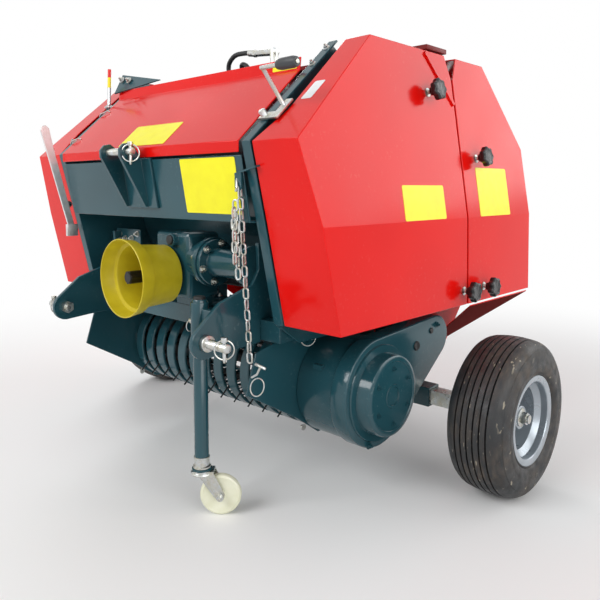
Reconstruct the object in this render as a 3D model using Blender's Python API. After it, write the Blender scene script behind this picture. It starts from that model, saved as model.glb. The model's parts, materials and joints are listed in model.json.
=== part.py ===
"""Small three-point round baler on two wheels and a jack.

The machine faces -Y, +X is its left side and +Z is up. Everything is drawn in the machine's own
station line, where Y = 0 is 0.505 m behind the top of the front panel, and the root empty then
moves it so that the middle of its box is at X = Y = 0 and its wheels stand on Z = 0.
"""

import math

import bmesh
import bpy
from mathutils import Matrix, Vector

# ---------------------------------------------------------------- driving dimensions (metres)
STATION_SHIFT = 0.0315  # moves the middle of the whole box to Y = 0
GAP = 0.0003  # between two pieces that touch
SHEET = 0.004  # folded covers and panels
PLATE = 0.005  # frame side plates
SIDE_X = 0.400  # inner face of the frame side plates
FLANGE_X = 0.429  # outer edge of their front flange

# side outline of the body, as (y, z)
NOSE_TOP = (-0.505, 0.886)
NOSE_FOLD = (-0.461, 0.706)
NOSE_FOOT = (-0.407, 0.470)
ROOF_FRONT = (-0.217, 1.141)
SPLIT_Y = 0.138  # seam between the front and the rear covers
SEAM = 0.007
ROOF_Z = 1.141
ROOF_REAR_Y = 0.326
TAIL_SHOULDER = (0.527, 0.907)
TAIL_Y = 0.531
SKIRT_Z = 0.470
FOLD_Z = 0.706
COVER_FOLD_X = 0.595  # widest fold of the side covers
COVER_FOOT_X = 0.600
COVER_LEAN = 0.161  # how far a cover leans in for each metre above the fold

# bale chamber
CHAMBER = (0.080, 0.760)
ROLLER_RING = 0.285
ROLLER_R = 0.035
SHELL_R = 0.327

GATE_AXIS = (0.150, 1.1535)
GATE_OPEN_DEG = 55

# power take-off and gearbox
PTO_X = 0.030
PTO_Z = 0.560
CROSS_Y = -0.395
CROSS_Z = 0.597
GEAR_FACE_Y = -0.450

# hitch
ARM_X = 0.318
ARM_T = 0.012
PIN_Y = -0.556
PIN_Z = 0.440
PIN_R = 0.011
TOP_PIN_R = 0.0095

# jack and castor
JACK_X = 0.258
JACK_Y = -0.515
LEG_R = 0.0172
SLEEVE_R = 0.0215
CASTOR_R = 0.050
CASTOR_TRAIL = 0.045
CASTOR_TURN = math.radians(43.0)

# wheels
WHEEL_X = 0.738
WHEEL_Y = 0.104
TYRE_R = 0.203
WHEEL_STEPS = 28
AXLE_TUBE = 0.054
AXLE_BAR = 0.040

# pickup and its drive
REEL_Y = -0.152
REEL_Z = 0.272
BAND_R = 0.130
TINE_R = 0.163
CASE_R = 0.140
CASE_TOP = (0.115, 0.370)
CASE_TOP_R = 0.060
PICKUP_X = (-0.395, 0.349)

RED = (0.72, 0.025, 0.015)
DARK_RED = (0.30, 0.015, 0.012)
GREEN = (0.030, 0.085, 0.095)
YELLOW = (0.62, 0.55, 0.045)
ZINC = (0.55, 0.56, 0.58)
BLACK = (0.015, 0.015, 0.016)
TYRE = (0.045, 0.042, 0.038)
SILVER = (0.60, 0.62, 0.64)
CREAM = (0.80, 0.78, 0.60)

ROOT = None


# ---------------------------------------------------------------- building blocks
def clear_scene():
    for obj in list(bpy.data.objects):
        bpy.data.objects.remove(obj, do_unlink=True)


def material(name, colour, roughness, metallic):
    mat = bpy.data.materials.new(name)
    mat.use_nodes = True
    shader = mat.node_tree.nodes["Principled BSDF"]
    shader.inputs["Base Color"].default_value = (*colour, 1.0)
    shader.inputs["Roughness"].default_value = roughness
    shader.inputs["Metallic"].default_value = metallic
    return mat


def mesh_object(name, verts, faces):
    mesh = bpy.data.meshes.new(name)
    mesh.from_pydata([tuple(v) for v in verts], [], faces)
    mesh.update()
    obj = bpy.data.objects.new(name, mesh)
    bpy.context.scene.collection.objects.link(obj)
    return obj


def outward(obj):
    """Turn the faces of a closed mesh to point out."""
    work = bmesh.new()
    work.from_mesh(obj.data)
    bmesh.ops.remove_doubles(work, verts=work.verts, dist=0.000001)
    bmesh.ops.recalc_face_normals(work, faces=work.faces)
    work.to_mesh(obj.data)
    work.free()
    return obj


def prism(name, outline, along, low, high):
    """A flat outline pushed along one axis. The outline's pairs are the other two axes in order."""
    order = {"x": (2, 0, 1), "y": (0, 2, 1), "z": (0, 1, 2)}[along]
    verts = []
    for level in (low, high):
        for first, second in outline:
            point = (first, second, level)
            verts.append(tuple(point[i] for i in order))
    count = len(outline)
    faces = [list(range(count)), list(range(count, 2 * count))]
    for i in range(count):
        after = (i + 1) % count
        faces.append([i, after, count + after, count + i])
    return outward(mesh_object(name, verts, faces))


def box(name, low, high):
    outline = [(low[0], low[1]), (high[0], low[1]), (high[0], high[1]), (low[0], high[1])]
    return prism(name, outline, "z", low[2], high[2])


def axis_matrix(centre, direction):
    turn = Vector((0, 0, 1)).rotation_difference(Vector(direction)).to_matrix().to_4x4()
    return Matrix.Translation(Vector(centre)) @ turn


def turned(name, loop, centre, direction, steps=32):
    """A closed loop of (radius, height) turned about an axis through centre."""
    rings = []
    verts = []
    for radius, height in loop:
        if radius < 1e-9:
            rings.append([len(verts)] * steps)
            verts.append(Vector((0, 0, height)))
            continue
        rings.append([len(verts) + i for i in range(steps)])
        for i in range(steps):
            angle = math.tau * i / steps
            verts.append(Vector((radius * math.cos(angle), radius * math.sin(angle), height)))
    faces = []
    for j, ring in enumerate(rings):
        above = rings[(j + 1) % len(rings)]
        for i in range(steps):
            k = (i + 1) % steps
            corners = list(dict.fromkeys([ring[i], ring[k], above[k], above[i]]))
            if len(corners) > 2:
                faces.append(corners)
    place = axis_matrix(centre, direction)
    return outward(mesh_object(name, [place @ v for v in verts], faces))


def rod(name, start, end, radius, steps=16):
    start, end = Vector(start), Vector(end)
    length = (end - start).length
    loop = [(0, 0), (radius, 0), (radius, length), (0, length)]
    return turned(name, loop, start, end - start, steps)


def folded(name, verts, faces, thickness, inside=-1.0):
    """Sheet metal: an open surface given its thickness on one side."""
    obj = mesh_object(name, verts, faces)
    work = bmesh.new()
    work.from_mesh(obj.data)
    bmesh.ops.recalc_face_normals(work, faces=work.faces)
    work.to_mesh(obj.data)
    work.free()
    solid = obj.modifiers.new("thickness", "SOLIDIFY")
    solid.thickness = thickness
    solid.offset = inside
    solid.use_even_offset = True
    return baked(obj)


def baked(obj):
    """Replace an object's mesh by what its modifiers make of it."""
    graph = bpy.context.evaluated_depsgraph_get()
    mesh = bpy.data.meshes.new_from_object(obj.evaluated_get(graph))
    obj.modifiers.clear()
    obj.data = mesh
    return outward(obj)


def combine(base, others, operation="UNION"):
    for other in others:
        step = base.modifiers.new("combine", "BOOLEAN")
        step.operation = operation
        step.object = other
        baked(base)
        bpy.data.objects.remove(other, do_unlink=True)
    return base


def arc(centre, radius, start_deg, end_deg, steps):
    points = []
    for i in range(steps + 1):
        angle = math.radians(start_deg + (end_deg - start_deg) * i / steps)
        points.append((centre[0] + radius * math.cos(angle), centre[1] + radius * math.sin(angle)))
    return points


def mirrored(name, source):
    """The same piece on the other side of the machine."""
    other = source.copy()
    other.data = source.data.copy()
    other.name = name
    bpy.context.scene.collection.objects.link(other)
    other.data.transform(Matrix.Scale(-1, 4, (1, 0, 0)))
    other.data.flip_normals()
    return other


def finish(obj, look, axis_point=None):
    """Give a node its look and put its origin on its joint's axis."""
    name, colour, roughness, metallic = look
    obj.data.materials.clear()
    obj.data.materials.append(material(obj.name + "_" + name, colour, roughness, metallic))
    if axis_point is not None:
        obj.data.transform(Matrix.Translation(-Vector(axis_point)))
        obj.location = Vector(axis_point)
    obj.data.shade_smooth()
    obj.data.set_sharp_from_angle(angle=math.radians(35))
    obj.parent = ROOT
    return obj


LOOKS = {
    "red": ("red", RED, 0.25, 0.0),
    "dark_red": ("dark_red", DARK_RED, 0.35, 0.0),
    "green": ("green", GREEN, 0.35, 0.0),
    "yellow": ("yellow", YELLOW, 0.45, 0.0),
    "zinc": ("zinc", ZINC, 0.35, 1.0),
    "black": ("black", BLACK, 0.6, 0.0),
    "tyre": ("tyre", TYRE, 0.85, 0.0),
    "silver": ("silver", SILVER, 0.35, 1.0),
    "cream": ("cream", CREAM, 0.5, 0.0),
}


# ---------------------------------------------------------------- frame
def frame_sides():
    """Side plate with a flange folded out along its front and its slope."""
    front = [ROOF_FRONT, NOSE_TOP, NOSE_FOLD, NOSE_FOOT]
    rest = [(-0.330, 0.413), (-0.020, 0.413), (0.030, 0.231), (0.130, 0.231)]
    rest += [(0.130, 0.440), (0.130, 1.096), (-0.150, 1.096)]
    plate = front + rest
    verts = [(SIDE_X + PLATE, y, z) for y, z in plate] + [(FLANGE_X, y, z) for y, z in front]
    count = len(plate)
    faces = [list(range(count))]
    for i in range(len(front) - 1):
        faces.append([i, i + 1, count + i + 1, count + i])
    left = folded("frame_side_left", verts, faces, PLATE, inside=0.0)
    keep_x_from(left, SIDE_X)
    right = mirrored("frame_side_right", left)
    finish(left, LOOKS["green"])
    finish(right, LOOKS["green"])


def keep_x_from(obj, low_x):
    """Slide a piece so that its lowest X is where it belongs."""
    shift = low_x - min(v.co.x for v in obj.data.vertices)
    obj.data.transform(Matrix.Translation((shift, 0, 0)))


def cross_sheet(name, profile, half_width, thickness, look, inside=-1.0):
    """A sheet folded along lines that run across the machine."""
    verts = [(x, y, z) for x in (-half_width, half_width) for y, z in profile]
    count = len(profile)
    faces = [[i, i + 1, count + i + 1, count + i] for i in range(count - 1)]
    return finish(folded(name, verts, faces, thickness, inside), LOOKS[look])


def cross_panels():
    inner = SIDE_X - 0.004
    cross_sheet("front_panel", [(-0.430, 0.709), (-0.479, 0.709), (-0.505, 0.858)], inner, SHEET, "green")
    lid = [(-0.5125, 0.864), (-0.5125, 0.889), (-0.318, 1.064), (-0.314, 1.094)]
    cross_sheet("top_cover", lid, inner, SHEET, "red")
    shell = arc(CHAMBER, SHELL_R, 92, 228, 14)
    cross_sheet("chamber_shell", shell, inner, SHEET, "green")


def hinge_beam():
    """Beam across the top that carries the tailgate's hinge knuckles and caps the side covers."""
    beam = box("hinge_beam", (-0.396, 0.090, 1.099), (0.396, 0.1335, 1.152))
    cap = box("cap", (-0.520, 0.034, 1.1475), (0.520, 0.1335, 1.160))
    parts = [cap]
    for side in (-1, 1):
        knuckle = rod("knuckle", (side * 0.300, *GATE_AXIS), (side * 0.340, *GATE_AXIS), 0.011)
        lug = box("lug", (side * 0.320 - 0.020, 0.130, 1.1445), (side * 0.320 + 0.020, 0.150, 1.1625))
        parts += [knuckle, lug]
    return finish(combine(beam, parts), LOOKS["dark_red"])


def hitch_beam():
    """Lower cross tube that the hitch arms bolt to."""
    beam = box("hitch_beam", (-0.396, -0.386, 0.418), (0.396, -0.336, 0.468))
    return finish(beam, LOOKS["green"])


# ---------------------------------------------------------------- hitch
def top_link():
    """Two lugs bent from one plate, with the top link pin through them."""
    lugs = [(-0.078, -0.068), (0.012, 0.022)]
    foot = [(-0.4838, 0.735), (-0.4900, 0.735), (-0.5118, 0.8605), (-0.5057, 0.8620)]
    base = prism("top_link_bracket", foot, "x", -0.078, 0.060)
    base.data.transform(Matrix.Translation((0, -0.0008, 0)))
    lug_outline = [(-0.508, 0.8555), (-0.530, 0.890), (-0.545, 0.900), (-0.561, 0.897), (-0.572, 0.884)]
    lug_outline += [(-0.572, 0.866), (-0.500, 0.738), (-0.487, 0.738)]
    plates = [prism("lug", lug_outline, "x", low, high) for low, high in lugs]
    combine(base, plates)
    hole = rod("hole", (-0.1, -0.549, 0.878), (0.1, -0.549, 0.878), TOP_PIN_R + GAP)
    finish(combine(base, [hole], "DIFFERENCE"), LOOKS["green"])
    pin = rod("top_link_pin", (-0.095, -0.549, 0.878), (0.042, -0.549, 0.878), TOP_PIN_R)
    head = rod("head", (-0.095, -0.549, 0.878), (-0.084, -0.549, 0.878), 0.014)
    finish(combine(pin, [head]), LOOKS["zinc"])


def hitch_arms():
    nose = arc((PIN_Y, PIN_Z), 0.038, 130, 270, 8)
    outline = [(-0.334, 0.655), (-0.392, 0.655), (-0.390, 0.590), (-0.412, 0.556), (-0.512, 0.524)]
    outline += nose + [(-0.480, 0.408), (-0.3865, 0.412), (-0.3865, 0.4685), (-0.334, 0.4685)]
    left = prism("lower_arm_left", outline, "x", ARM_X, ARM_X + ARM_T)
    foot = box("foot", (ARM_X, -0.350, 0.4685), (SIDE_X - GAP, -0.334, 0.640))
    combine(left, [foot])
    right = mirrored("lower_arm_right", left)
    finish(left, LOOKS["green"])
    finish(right, LOOKS["green"])
    start = ARM_X + ARM_T + GAP
    loop = [(0, 0), (0.019, 0), (0.019, 0.012), (PIN_R, 0.012), (PIN_R, 0.074), (0.009, 0.078), (0, 0.078)]
    for side, word in ((1, "left"), (-1, "right")):
        pin = turned("lower_pin_" + word, loop, (side * start, PIN_Y, PIN_Z), (side, 0, 0), 20)
        finish(pin, LOOKS["zinc"])


# ---------------------------------------------------------------- drive line
def gearbox():
    shell = box("gearbox", (-0.028, -0.440, 0.497), (0.120, -0.336, 0.672))
    bevel = shell.modifiers.new("edges", "BEVEL")
    bevel.width = 0.012
    bevel.segments = 2
    baked(shell)
    nose = rod("nose", (PTO_X, GEAR_FACE_Y, PTO_Z), (PTO_X, -0.400, PTO_Z), 0.052, 24)
    side = [(0, 0), (0.050, 0), (0.050, 0.045), (0.064, 0.045), (0.064, 0.059), (0, 0.059)]
    flange = turned("flange", side, (0.110, CROSS_Y, CROSS_Z), (1, 0, 0), 24)
    plug = rod("plug", (0.062, -0.455, 0.652), (0.062, -0.400, 0.652), 0.017, 16)
    saddle = box("saddle", (-0.010, -0.386, 0.4685), (0.100, -0.345, 0.520))
    finish(combine(shell, [nose, flange, plug, saddle]), LOOKS["green"])
    tube_loop = [(0, 0), (0.060, 0), (0.060, 0.012), (0.0355, 0.012), (0.0355, 0.136), (0.052, 0.136)]
    start = 0.169 + GAP
    reach = ARM_X - GAP - start
    tube_loop += [(0.052, reach), (0, reach)]
    tube = turned("drive_tube", tube_loop, (start, CROSS_Y, CROSS_Z), (1, 0, 0), 24)
    finish(tube, LOOKS["green"])


def pto():
    """Stepped guard cone, open to the front, with the stub shaft inside it."""
    back = GEAR_FACE_Y - GAP
    loop = [(0.030, 0), (0.077, 0), (0.083, 0.092), (0.094, 0.096), (0.100, 0.134)]
    loop += [(0.097, 0.134), (0.0915, 0.0985), (0.080, 0.0945), (0.0745, 0.003), (0.030, 0.003)]
    guard = turned("pto_guard", loop, (PTO_X, back, PTO_Z), (0, -1, 0), 28)
    finish(guard, LOOKS["yellow"])
    shaft_loop = [(0, 0), (0.0175, 0), (0.0175, 0.030), (0.0155, 0.032), (0.0155, 0.040)]
    shaft_loop += [(0.0175, 0.042), (0.0175, 0.112), (0.0155, 0.115), (0, 0.115)]
    shaft = turned("pto_shaft", shaft_loop, (PTO_X, back, PTO_Z), (0, -1, 0), 16)
    finish(shaft, LOOKS["black"], (PTO_X, back, PTO_Z))


# ---------------------------------------------------------------- jack
def jack():
    inner = LEG_R + 0.0008
    loop = [(inner, 0), (SLEEVE_R, 0), (SLEEVE_R, 0.120), (inner, 0.120)]
    sleeve = turned("jack_sleeve", loop, (JACK_X, JACK_Y, 0.400), (0, 0, 1), 24)
    web = box("web", (JACK_X + 0.0195, JACK_Y - 0.008, 0.428), (ARM_X - GAP, JACK_Y + 0.008, 0.505))
    finish(combine(sleeve, [web]), LOOKS["green"])
    leg_loop = [(0, 0.1118), (0.024, 0.1118), (0.024, 0.1165), (LEG_R, 0.1165), (LEG_R, 0.527)]
    leg_loop += [(0.0145, 0.529), (0.0145, 0.534), (0, 0.534)]
    leg = turned("jack_leg", leg_loop, (JACK_X, JACK_Y, 0), (0, 0, 1), 24)
    finish(leg, LOOKS["green"], (JACK_X, JACK_Y, 0.1118))
    castor()


def castor():
    """Swivel fork drawn along its trail, then turned to the way it points."""
    top = 0.1115
    plate = box("castor_fork", (-0.022, -0.0185, 0.1065), (0.030, 0.0185, top))
    disc = rod("disc", (0, 0, 0.1065), (0, 0, top), 0.024, 20)
    parts = [disc]
    for side in (-1, 1):
        cheek_outline = [(-0.010, 0.107), (0.030, 0.107), (0.056, 0.056), (0.053, 0.043), (0.040, 0.040)]
        cheek_outline += [(0.030, 0.050)]
        low, high = sorted((side * 0.0155, side * 0.0185))
        parts.append(prism("cheek", cheek_outline, "y", low, high))
        bolt = rod("bolt", (CASTOR_TRAIL, side * 0.0180, CASTOR_R), (CASTOR_TRAIL, side * 0.0250, CASTOR_R), 0.007, 10)
        parts.append(bolt)
    fork = combine(plate, parts)
    loop = [(0, -0.0145), (0.012, -0.0145), (0.014, -0.0105), (0.044, -0.0105), (CASTOR_R, -0.0060)]
    loop += [(CASTOR_R, 0.0060), (0.044, 0.0105), (0.014, 0.0105), (0.012, 0.0145), (0, 0.0145)]
    wheel = turned("castor_wheel", loop, (CASTOR_TRAIL, 0, CASTOR_R), (0, 1, 0), 24)
    swing = Matrix.Translation((JACK_X, JACK_Y, 0)) @ Matrix.Rotation(CASTOR_TURN, 4, "Z")
    for obj in (fork, wheel):
        obj.data.transform(swing)
    hub = swing @ Vector((CASTOR_TRAIL, 0, CASTOR_R))
    finish(fork, LOOKS["zinc"], (JACK_X, JACK_Y, top))
    finish(wheel, LOOKS["cream"], hub)


# ---------------------------------------------------------------- axle and wheels
def axle():
    half = AXLE_TUBE / 2
    bore = AXLE_BAR / 2 + GAP
    low, high = TYRE_R - half, TYRE_R + half
    tube = box("axle_tube", (-0.520, WHEEL_Y - half, low), (0.520, WHEEL_Y + half, high))
    core = box("core", (-0.6, WHEEL_Y - bore, TYRE_R - bore), (0.6, WHEEL_Y + bore, TYRE_R + bore))
    finish(combine(tube, [core], "DIFFERENCE"), LOOKS["green"])
    side = AXLE_BAR / 2
    bar = box("axle_bar", (-0.640, WHEEL_Y - side, TYRE_R - side), (0.640, WHEEL_Y + side, TYRE_R + side))
    spindle = rod("spindle", (-0.785, WHEEL_Y, TYRE_R), (0.785, WHEEL_Y, TYRE_R), 0.0125, 16)
    finish(combine(bar, [spindle]), LOOKS["zinc"])


RIM_LOOP = [  # (radius, distance out from the wheel's middle)
    (0.0138, -0.045), (0.030, -0.045), (0.030, -0.0295), (0.083, -0.0250), (0.083, -0.0400),
    (0.0975, -0.0500), (0.0975, -0.0665), (0.1135, -0.0705), (0.1145, -0.0670), (0.1012, -0.0630),
    (0.1012, -0.0480), (0.0862, -0.0380), (0.0862, 0.0340), (0.1012, 0.0460), (0.1012, 0.0630),
    (0.1145, 0.0670), (0.1135, 0.0705), (0.0975, 0.0665), (0.0975, 0.0480), (0.083, 0.0365),
    (0.083, -0.0210), (0.030, -0.0255), (0.030, 0.0380), (0.0138, 0.0380),
]
TYRE_LOOP = [
    (0.1016, -0.0625), (0.1155, -0.0665), (0.1250, -0.0745), (0.1500, -0.0775), (0.1740, -0.0740),
    (0.1900, -0.0640), (0.1985, -0.0480), (0.2022, -0.0240), (TYRE_R, 0.0), (0.2022, 0.0240),
    (0.1985, 0.0480), (0.1900, 0.0640), (0.1740, 0.0740), (0.1500, 0.0775), (0.1250, 0.0745),
    (0.1155, 0.0665), (0.1016, 0.0625),
]


def wheels():
    for side, word in ((1, "left"), (-1, "right")):
        hub = (side * WHEEL_X, WHEEL_Y, TYRE_R)
        out = (side, 0, 0)
        finish(turned("wheel_rim_" + word, RIM_LOOP, hub, out, WHEEL_STEPS), LOOKS["silver"], hub)
        finish(turned("tyre_" + word, TYRE_LOOP, hub, out, WHEEL_STEPS), LOOKS["tyre"], hub)


# ---------------------------------------------------------------- pickup
def pickup_ends():
    outline = [(-0.455, 0.300), (-0.425, 0.395), (-0.330, 0.4165), (0.020, 0.4165), (0.045, 0.390)]
    outline += [(0.045, 0.150), (-0.080, 0.140), (-0.200, 0.140), (-0.285, 0.200)]
    left = prism("pickup_end_left", outline, "x", PICKUP_X[1], PICKUP_X[1] + 0.005)
    right = prism("pickup_end_right", outline, "x", PICKUP_X[0] - 0.005, PICKUP_X[0])
    finish(left, LOOKS["green"])
    finish(right, LOOKS["green"])


BAND_COUNT = 13
BAND_PITCH = 0.0575
BAND_WIDTH = 0.036


def band_centres():
    middle = (PICKUP_X[0] + PICKUP_X[1]) / 2
    return [middle + (i - (BAND_COUNT - 1) / 2) * BAND_PITCH for i in range(BAND_COUNT)]


def pickup_bands():
    """Stripper bands bent round the reel, carried by a rail above and a rail below."""
    bend = arc((REEL_Y, REEL_Z), BAND_R, 90, 270, 9)
    inner = arc((REEL_Y, REEL_Z), BAND_R - 0.003, 270, 90, 9)
    outline = [(0.030, bend[0][1])] + bend + [(0.030, bend[-1][1])]
    outline += [(0.030, inner[0][1])] + inner + [(0.030, inner[-1][1])]
    rail_x = (PICKUP_X[0] + GAP, PICKUP_X[1] - GAP)
    top = box("pickup_bands", (rail_x[0], 0.022, 0.390), (rail_x[1], 0.042, 0.412))
    low = box("low", (rail_x[0], 0.022, 0.134), (rail_x[1], 0.042, 0.154))
    post = box("post", (-0.025, 0.024, 0.150), (0.005, 0.030, 0.395))
    parts = [low, post]
    for x in band_centres():
        parts.append(prism("band", outline, "x", x - BAND_WIDTH / 2, x + BAND_WIDTH / 2))
    finish(combine(top, parts), LOOKS["green"])


def pickup_reel():
    """Shaft with end discs, four tine bars and a tine in every gap between the bands."""
    low, high = PICKUP_X[0] + 0.0055, PICKUP_X[1] - 0.0055
    reel = rod("pickup_reel", (low, REEL_Y, REEL_Z), (high, REEL_Y, REEL_Z), 0.020, 12)
    parts = []
    for x in (low + 0.004, high - 0.004):
        parts.append(rod("disc", (x - 0.003, REEL_Y, REEL_Z), (x + 0.003, REEL_Y, REEL_Z), 0.098, 16))
    centres = band_centres()
    gaps = [(a + b) / 2 for a, b in zip(centres, centres[1:])]
    for quarter in range(4):
        angle = math.radians(20 + 90 * quarter)
        bar = (REEL_Y + 0.085 * math.cos(angle), REEL_Z + 0.085 * math.sin(angle))
        tip = (REEL_Y + TINE_R * math.cos(angle + 0.18), REEL_Z + TINE_R * math.sin(angle + 0.18))
        parts.append(rod("bar", (low + 0.004, *bar), (high - 0.004, *bar), 0.009, 8))
        for x in gaps:
            parts.append(rod("tine", (x, *bar), (x, *tip), 0.003, 4))
    finish(combine(reel, parts), LOOKS["black"], (0, REEL_Y, REEL_Z))


def drive_case():
    """Tear-drop chain case with a round boss outside and a drum behind it."""
    span = math.hypot(CASE_TOP[0] - REEL_Y, CASE_TOP[1] - REEL_Z)
    lean = math.degrees(math.atan2(CASE_TOP[1] - REEL_Z, CASE_TOP[0] - REEL_Y))
    open_deg = math.degrees(math.acos((CASE_R - CASE_TOP_R) / span))
    outline = arc((REEL_Y, REEL_Z), CASE_R, lean + open_deg, lean + 360 - open_deg, 24)
    outline += arc(CASE_TOP, CASE_TOP_R, lean - open_deg, lean + open_deg, 12)
    case = prism("drive_case", outline, "x", 0.470, 0.518)
    centre = (REEL_Y, REEL_Z)
    drum = rod("drum", (0.3545, *centre), (0.4705, *centre), 0.134, 36)
    step = rod("step", (0.517, *centre), (0.524, *centre), 0.122, 36)
    boss = rod("boss", (0.523, *centre), (0.562, *centre), 0.103, 36)
    web = box("web", (SIDE_X + PLATE + 0.0013, 0.050, 0.340), (0.471, 0.126, 0.404))
    finish(combine(case, [drum, step, boss, web]), LOOKS["green"])


# ---------------------------------------------------------------- covers
def cover_x(z):
    """Half width of the covers at a height."""
    if z >= FOLD_Z:
        return COVER_FOLD_X - COVER_LEAN * (z - FOLD_Z)
    return COVER_FOLD_X + (COVER_FOOT_X - COVER_FOLD_X) * (FOLD_Z - z) / (FOLD_Z - SKIRT_Z)


def cover(name, rim, seam, look_name):
    """A side cover: a rim folded round part of the outline, a side skin with one long fold,
    and a short return flange down its seam.

    rim holds (y, z, inner x) from the roof round to the foot and seam holds (y, z) from roof to
    foot. Both start at the same roof corner and both have a corner at the fold.
    """
    verts, faces = [], []

    def add(x, y, z):
        verts.append((x, y, z))
        return len(verts) - 1

    outer = [add(cover_x(z), y, z) for y, z, _ in rim]
    inner = [add(x, y, z) for y, z, x in rim]
    edge = [outer[0]] + [add(cover_x(z), y, z) for y, z in seam[1:]]
    back = [None] + [add(cover_x(z) - 0.020, y, z) for y, z in seam[1:]]
    for i in range(len(rim) - 1):
        faces.append([outer[i], outer[i + 1], inner[i + 1], inner[i]])
    for i in range(1, len(seam) - 1):
        faces.append([edge[i], edge[i + 1], back[i + 1], back[i]])
    fold_rim = next(i for i, (_, z, _) in enumerate(rim) if abs(z - FOLD_Z) < 1e-6)
    fold_seam = next(i for i, (_, z) in enumerate(seam) if abs(z - FOLD_Z) < 1e-6)
    faces.append(outer[:fold_rim + 1] + list(reversed(edge[1:fold_seam + 1])))
    faces.append(outer[fold_rim:] + list(reversed(edge[fold_seam:])))
    return folded(name, verts, faces, SHEET)


def front_covers():
    lip = 0.432
    slope_in = 0.462
    slope_rate = (ROOF_FRONT[1] - NOSE_TOP[1]) / (ROOF_FRONT[0] - NOSE_TOP[0])
    notch = (-0.425, NOSE_TOP[1] + slope_rate * (-0.425 - NOSE_TOP[0]))
    rim = [
        (0.112, ROOF_Z, 0.452), (ROOF_FRONT[0], ROOF_FRONT[1], 0.452), (*notch, slope_in),
        (*NOSE_TOP, lip), (*NOSE_FOLD, lip), (*NOSE_FOOT, lip),
    ]
    rear = SPLIT_Y - SEAM / 2
    seam = [(0.112, ROOF_Z), (rear, 1.079), (rear, FOLD_Z), (rear, SKIRT_Z)]
    left = cover("front_cover_left", rim, seam, "red")
    right = mirrored("front_cover_right", left)
    for obj, side in ((left, 1), (right, -1)):
        finish(obj, LOOKS["red"], (side * lip, *NOSE_FOOT))


def rear_covers():
    inner = 0.412
    front = SPLIT_Y + SEAM / 2
    rim = [
        (0.172, ROOF_Z, inner), (ROOF_REAR_Y, ROOF_Z, inner), (*TAIL_SHOULDER, inner),
        (TAIL_Y, FOLD_Z, inner), (TAIL_Y, SKIRT_Z, inner),
    ]
    seam = [(0.172, ROOF_Z), (front, 1.079), (front, FOLD_Z), (front, SKIRT_Z)]
    left = cover("rear_cover_left", rim, seam, "red")
    right = mirrored("rear_cover_right", left)
    for obj, side in ((left, 1), (right, -1)):
        finish(obj, LOOKS["red"], (side * inner, TAIL_Y, SKIRT_Z))


# ---------------------------------------------------------------- tailgate
def tailgate():
    """Rear half of the chamber: a folded back between two side plates, with its hinge knuckles
    and, below each rear cover, an apron that slopes in to the side plate's foot."""
    front = SPLIT_Y + SEAM / 2
    inset = 0.006
    skin = [(0.170, ROOF_Z - inset), (ROOF_REAR_Y - 0.003, ROOF_Z - inset)]
    skin += [(TAIL_SHOULDER[0] - inset, TAIL_SHOULDER[1] - 0.004), (TAIL_Y - inset, FOLD_Z)]
    skin += [(TAIL_Y - inset, SKIRT_Z), (0.372, 0.298), (0.255, 0.298)]
    sides = [(front, 0.440), (front, 1.100)]
    outline = skin + sides
    verts = [(x, y, z) for x in (SIDE_X + 0.002, -SIDE_X - 0.002) for y, z in outline]
    count = len(outline)
    faces = [list(range(count)), list(range(2 * count - 1, count - 1, -1))]
    faces += [[i, i + 1, count + i + 1, count + i] for i in range(len(skin) - 1)]
    gate = folded("tailgate", verts, faces, SHEET)
    parts = []
    for side in (-1, 1):
        start, end = sorted((side * 0.342, side * 0.380))
        parts.append(rod("knuckle", (start, *GATE_AXIS), (end, *GATE_AXIS), 0.011))
        parts.append(box("lug", (start, 0.150, 1.133), (end, 0.184, 1.1625)))
        parts.append(apron(side))
    finish(combine(gate, parts), LOOKS["red"], (0, *GATE_AXIS))


def apron(side):
    foot = SKIRT_Z - 0.010
    upper = [(COVER_FOOT_X - 0.004, 0.160), (COVER_FOOT_X - 0.004, TAIL_Y - 0.006)]
    lower = [(SIDE_X, 0.369), (SIDE_X, 0.262)]
    verts = [(x, y, foot) for x, y in upper] + [(x, y, 0.304) for x, y in lower]
    verts += [(x, y, z + 0.004) for x, y, z in verts]
    verts = [(side * x, y, z) for x, y, z in verts]
    faces = [[0, 1, 2, 3], [4, 5, 6, 7], [0, 1, 5, 4], [1, 2, 6, 5], [2, 3, 7, 6], [3, 0, 4, 7]]
    return outward(mesh_object("apron", verts, faces))


# ---------------------------------------------------------------- rollers
ROLLERS = [  # (name, angle round the chamber in degrees)
    ("front_roller_top", 122),
    ("front_roller_middle", 168),
    ("front_roller_floor", 252),
    ("gate_roller_top", 52),
    ("gate_roller_middle", 6),
    ("gate_roller_low", -44),
]


def roller_centre(angle_deg):
    angle = math.radians(angle_deg)
    return (CHAMBER[0] + ROLLER_RING * math.cos(angle), CHAMBER[1] + ROLLER_RING * math.sin(angle))


def rollers():
    half = 0.388
    loop = [(0, -half), (0.014, -half), (0.014, -half + 0.012), (ROLLER_R, -half + 0.012)]
    loop += [(r, -h) for r, h in reversed(loop)]
    for name, angle in ROLLERS:
        centre = (0, *roller_centre(angle))
        finish(turned(name, loop, centre, (1, 0, 0), 14), LOOKS["silver"], centre)


# ---------------------------------------------------------------- hand controls and hydraulics
SLOPE_OUT = Vector((0, -0.6620, 0.7495))  # away from the sloping front of the top
SLOPE_UP = Vector((0, 0.7495, 0.6620))


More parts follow.
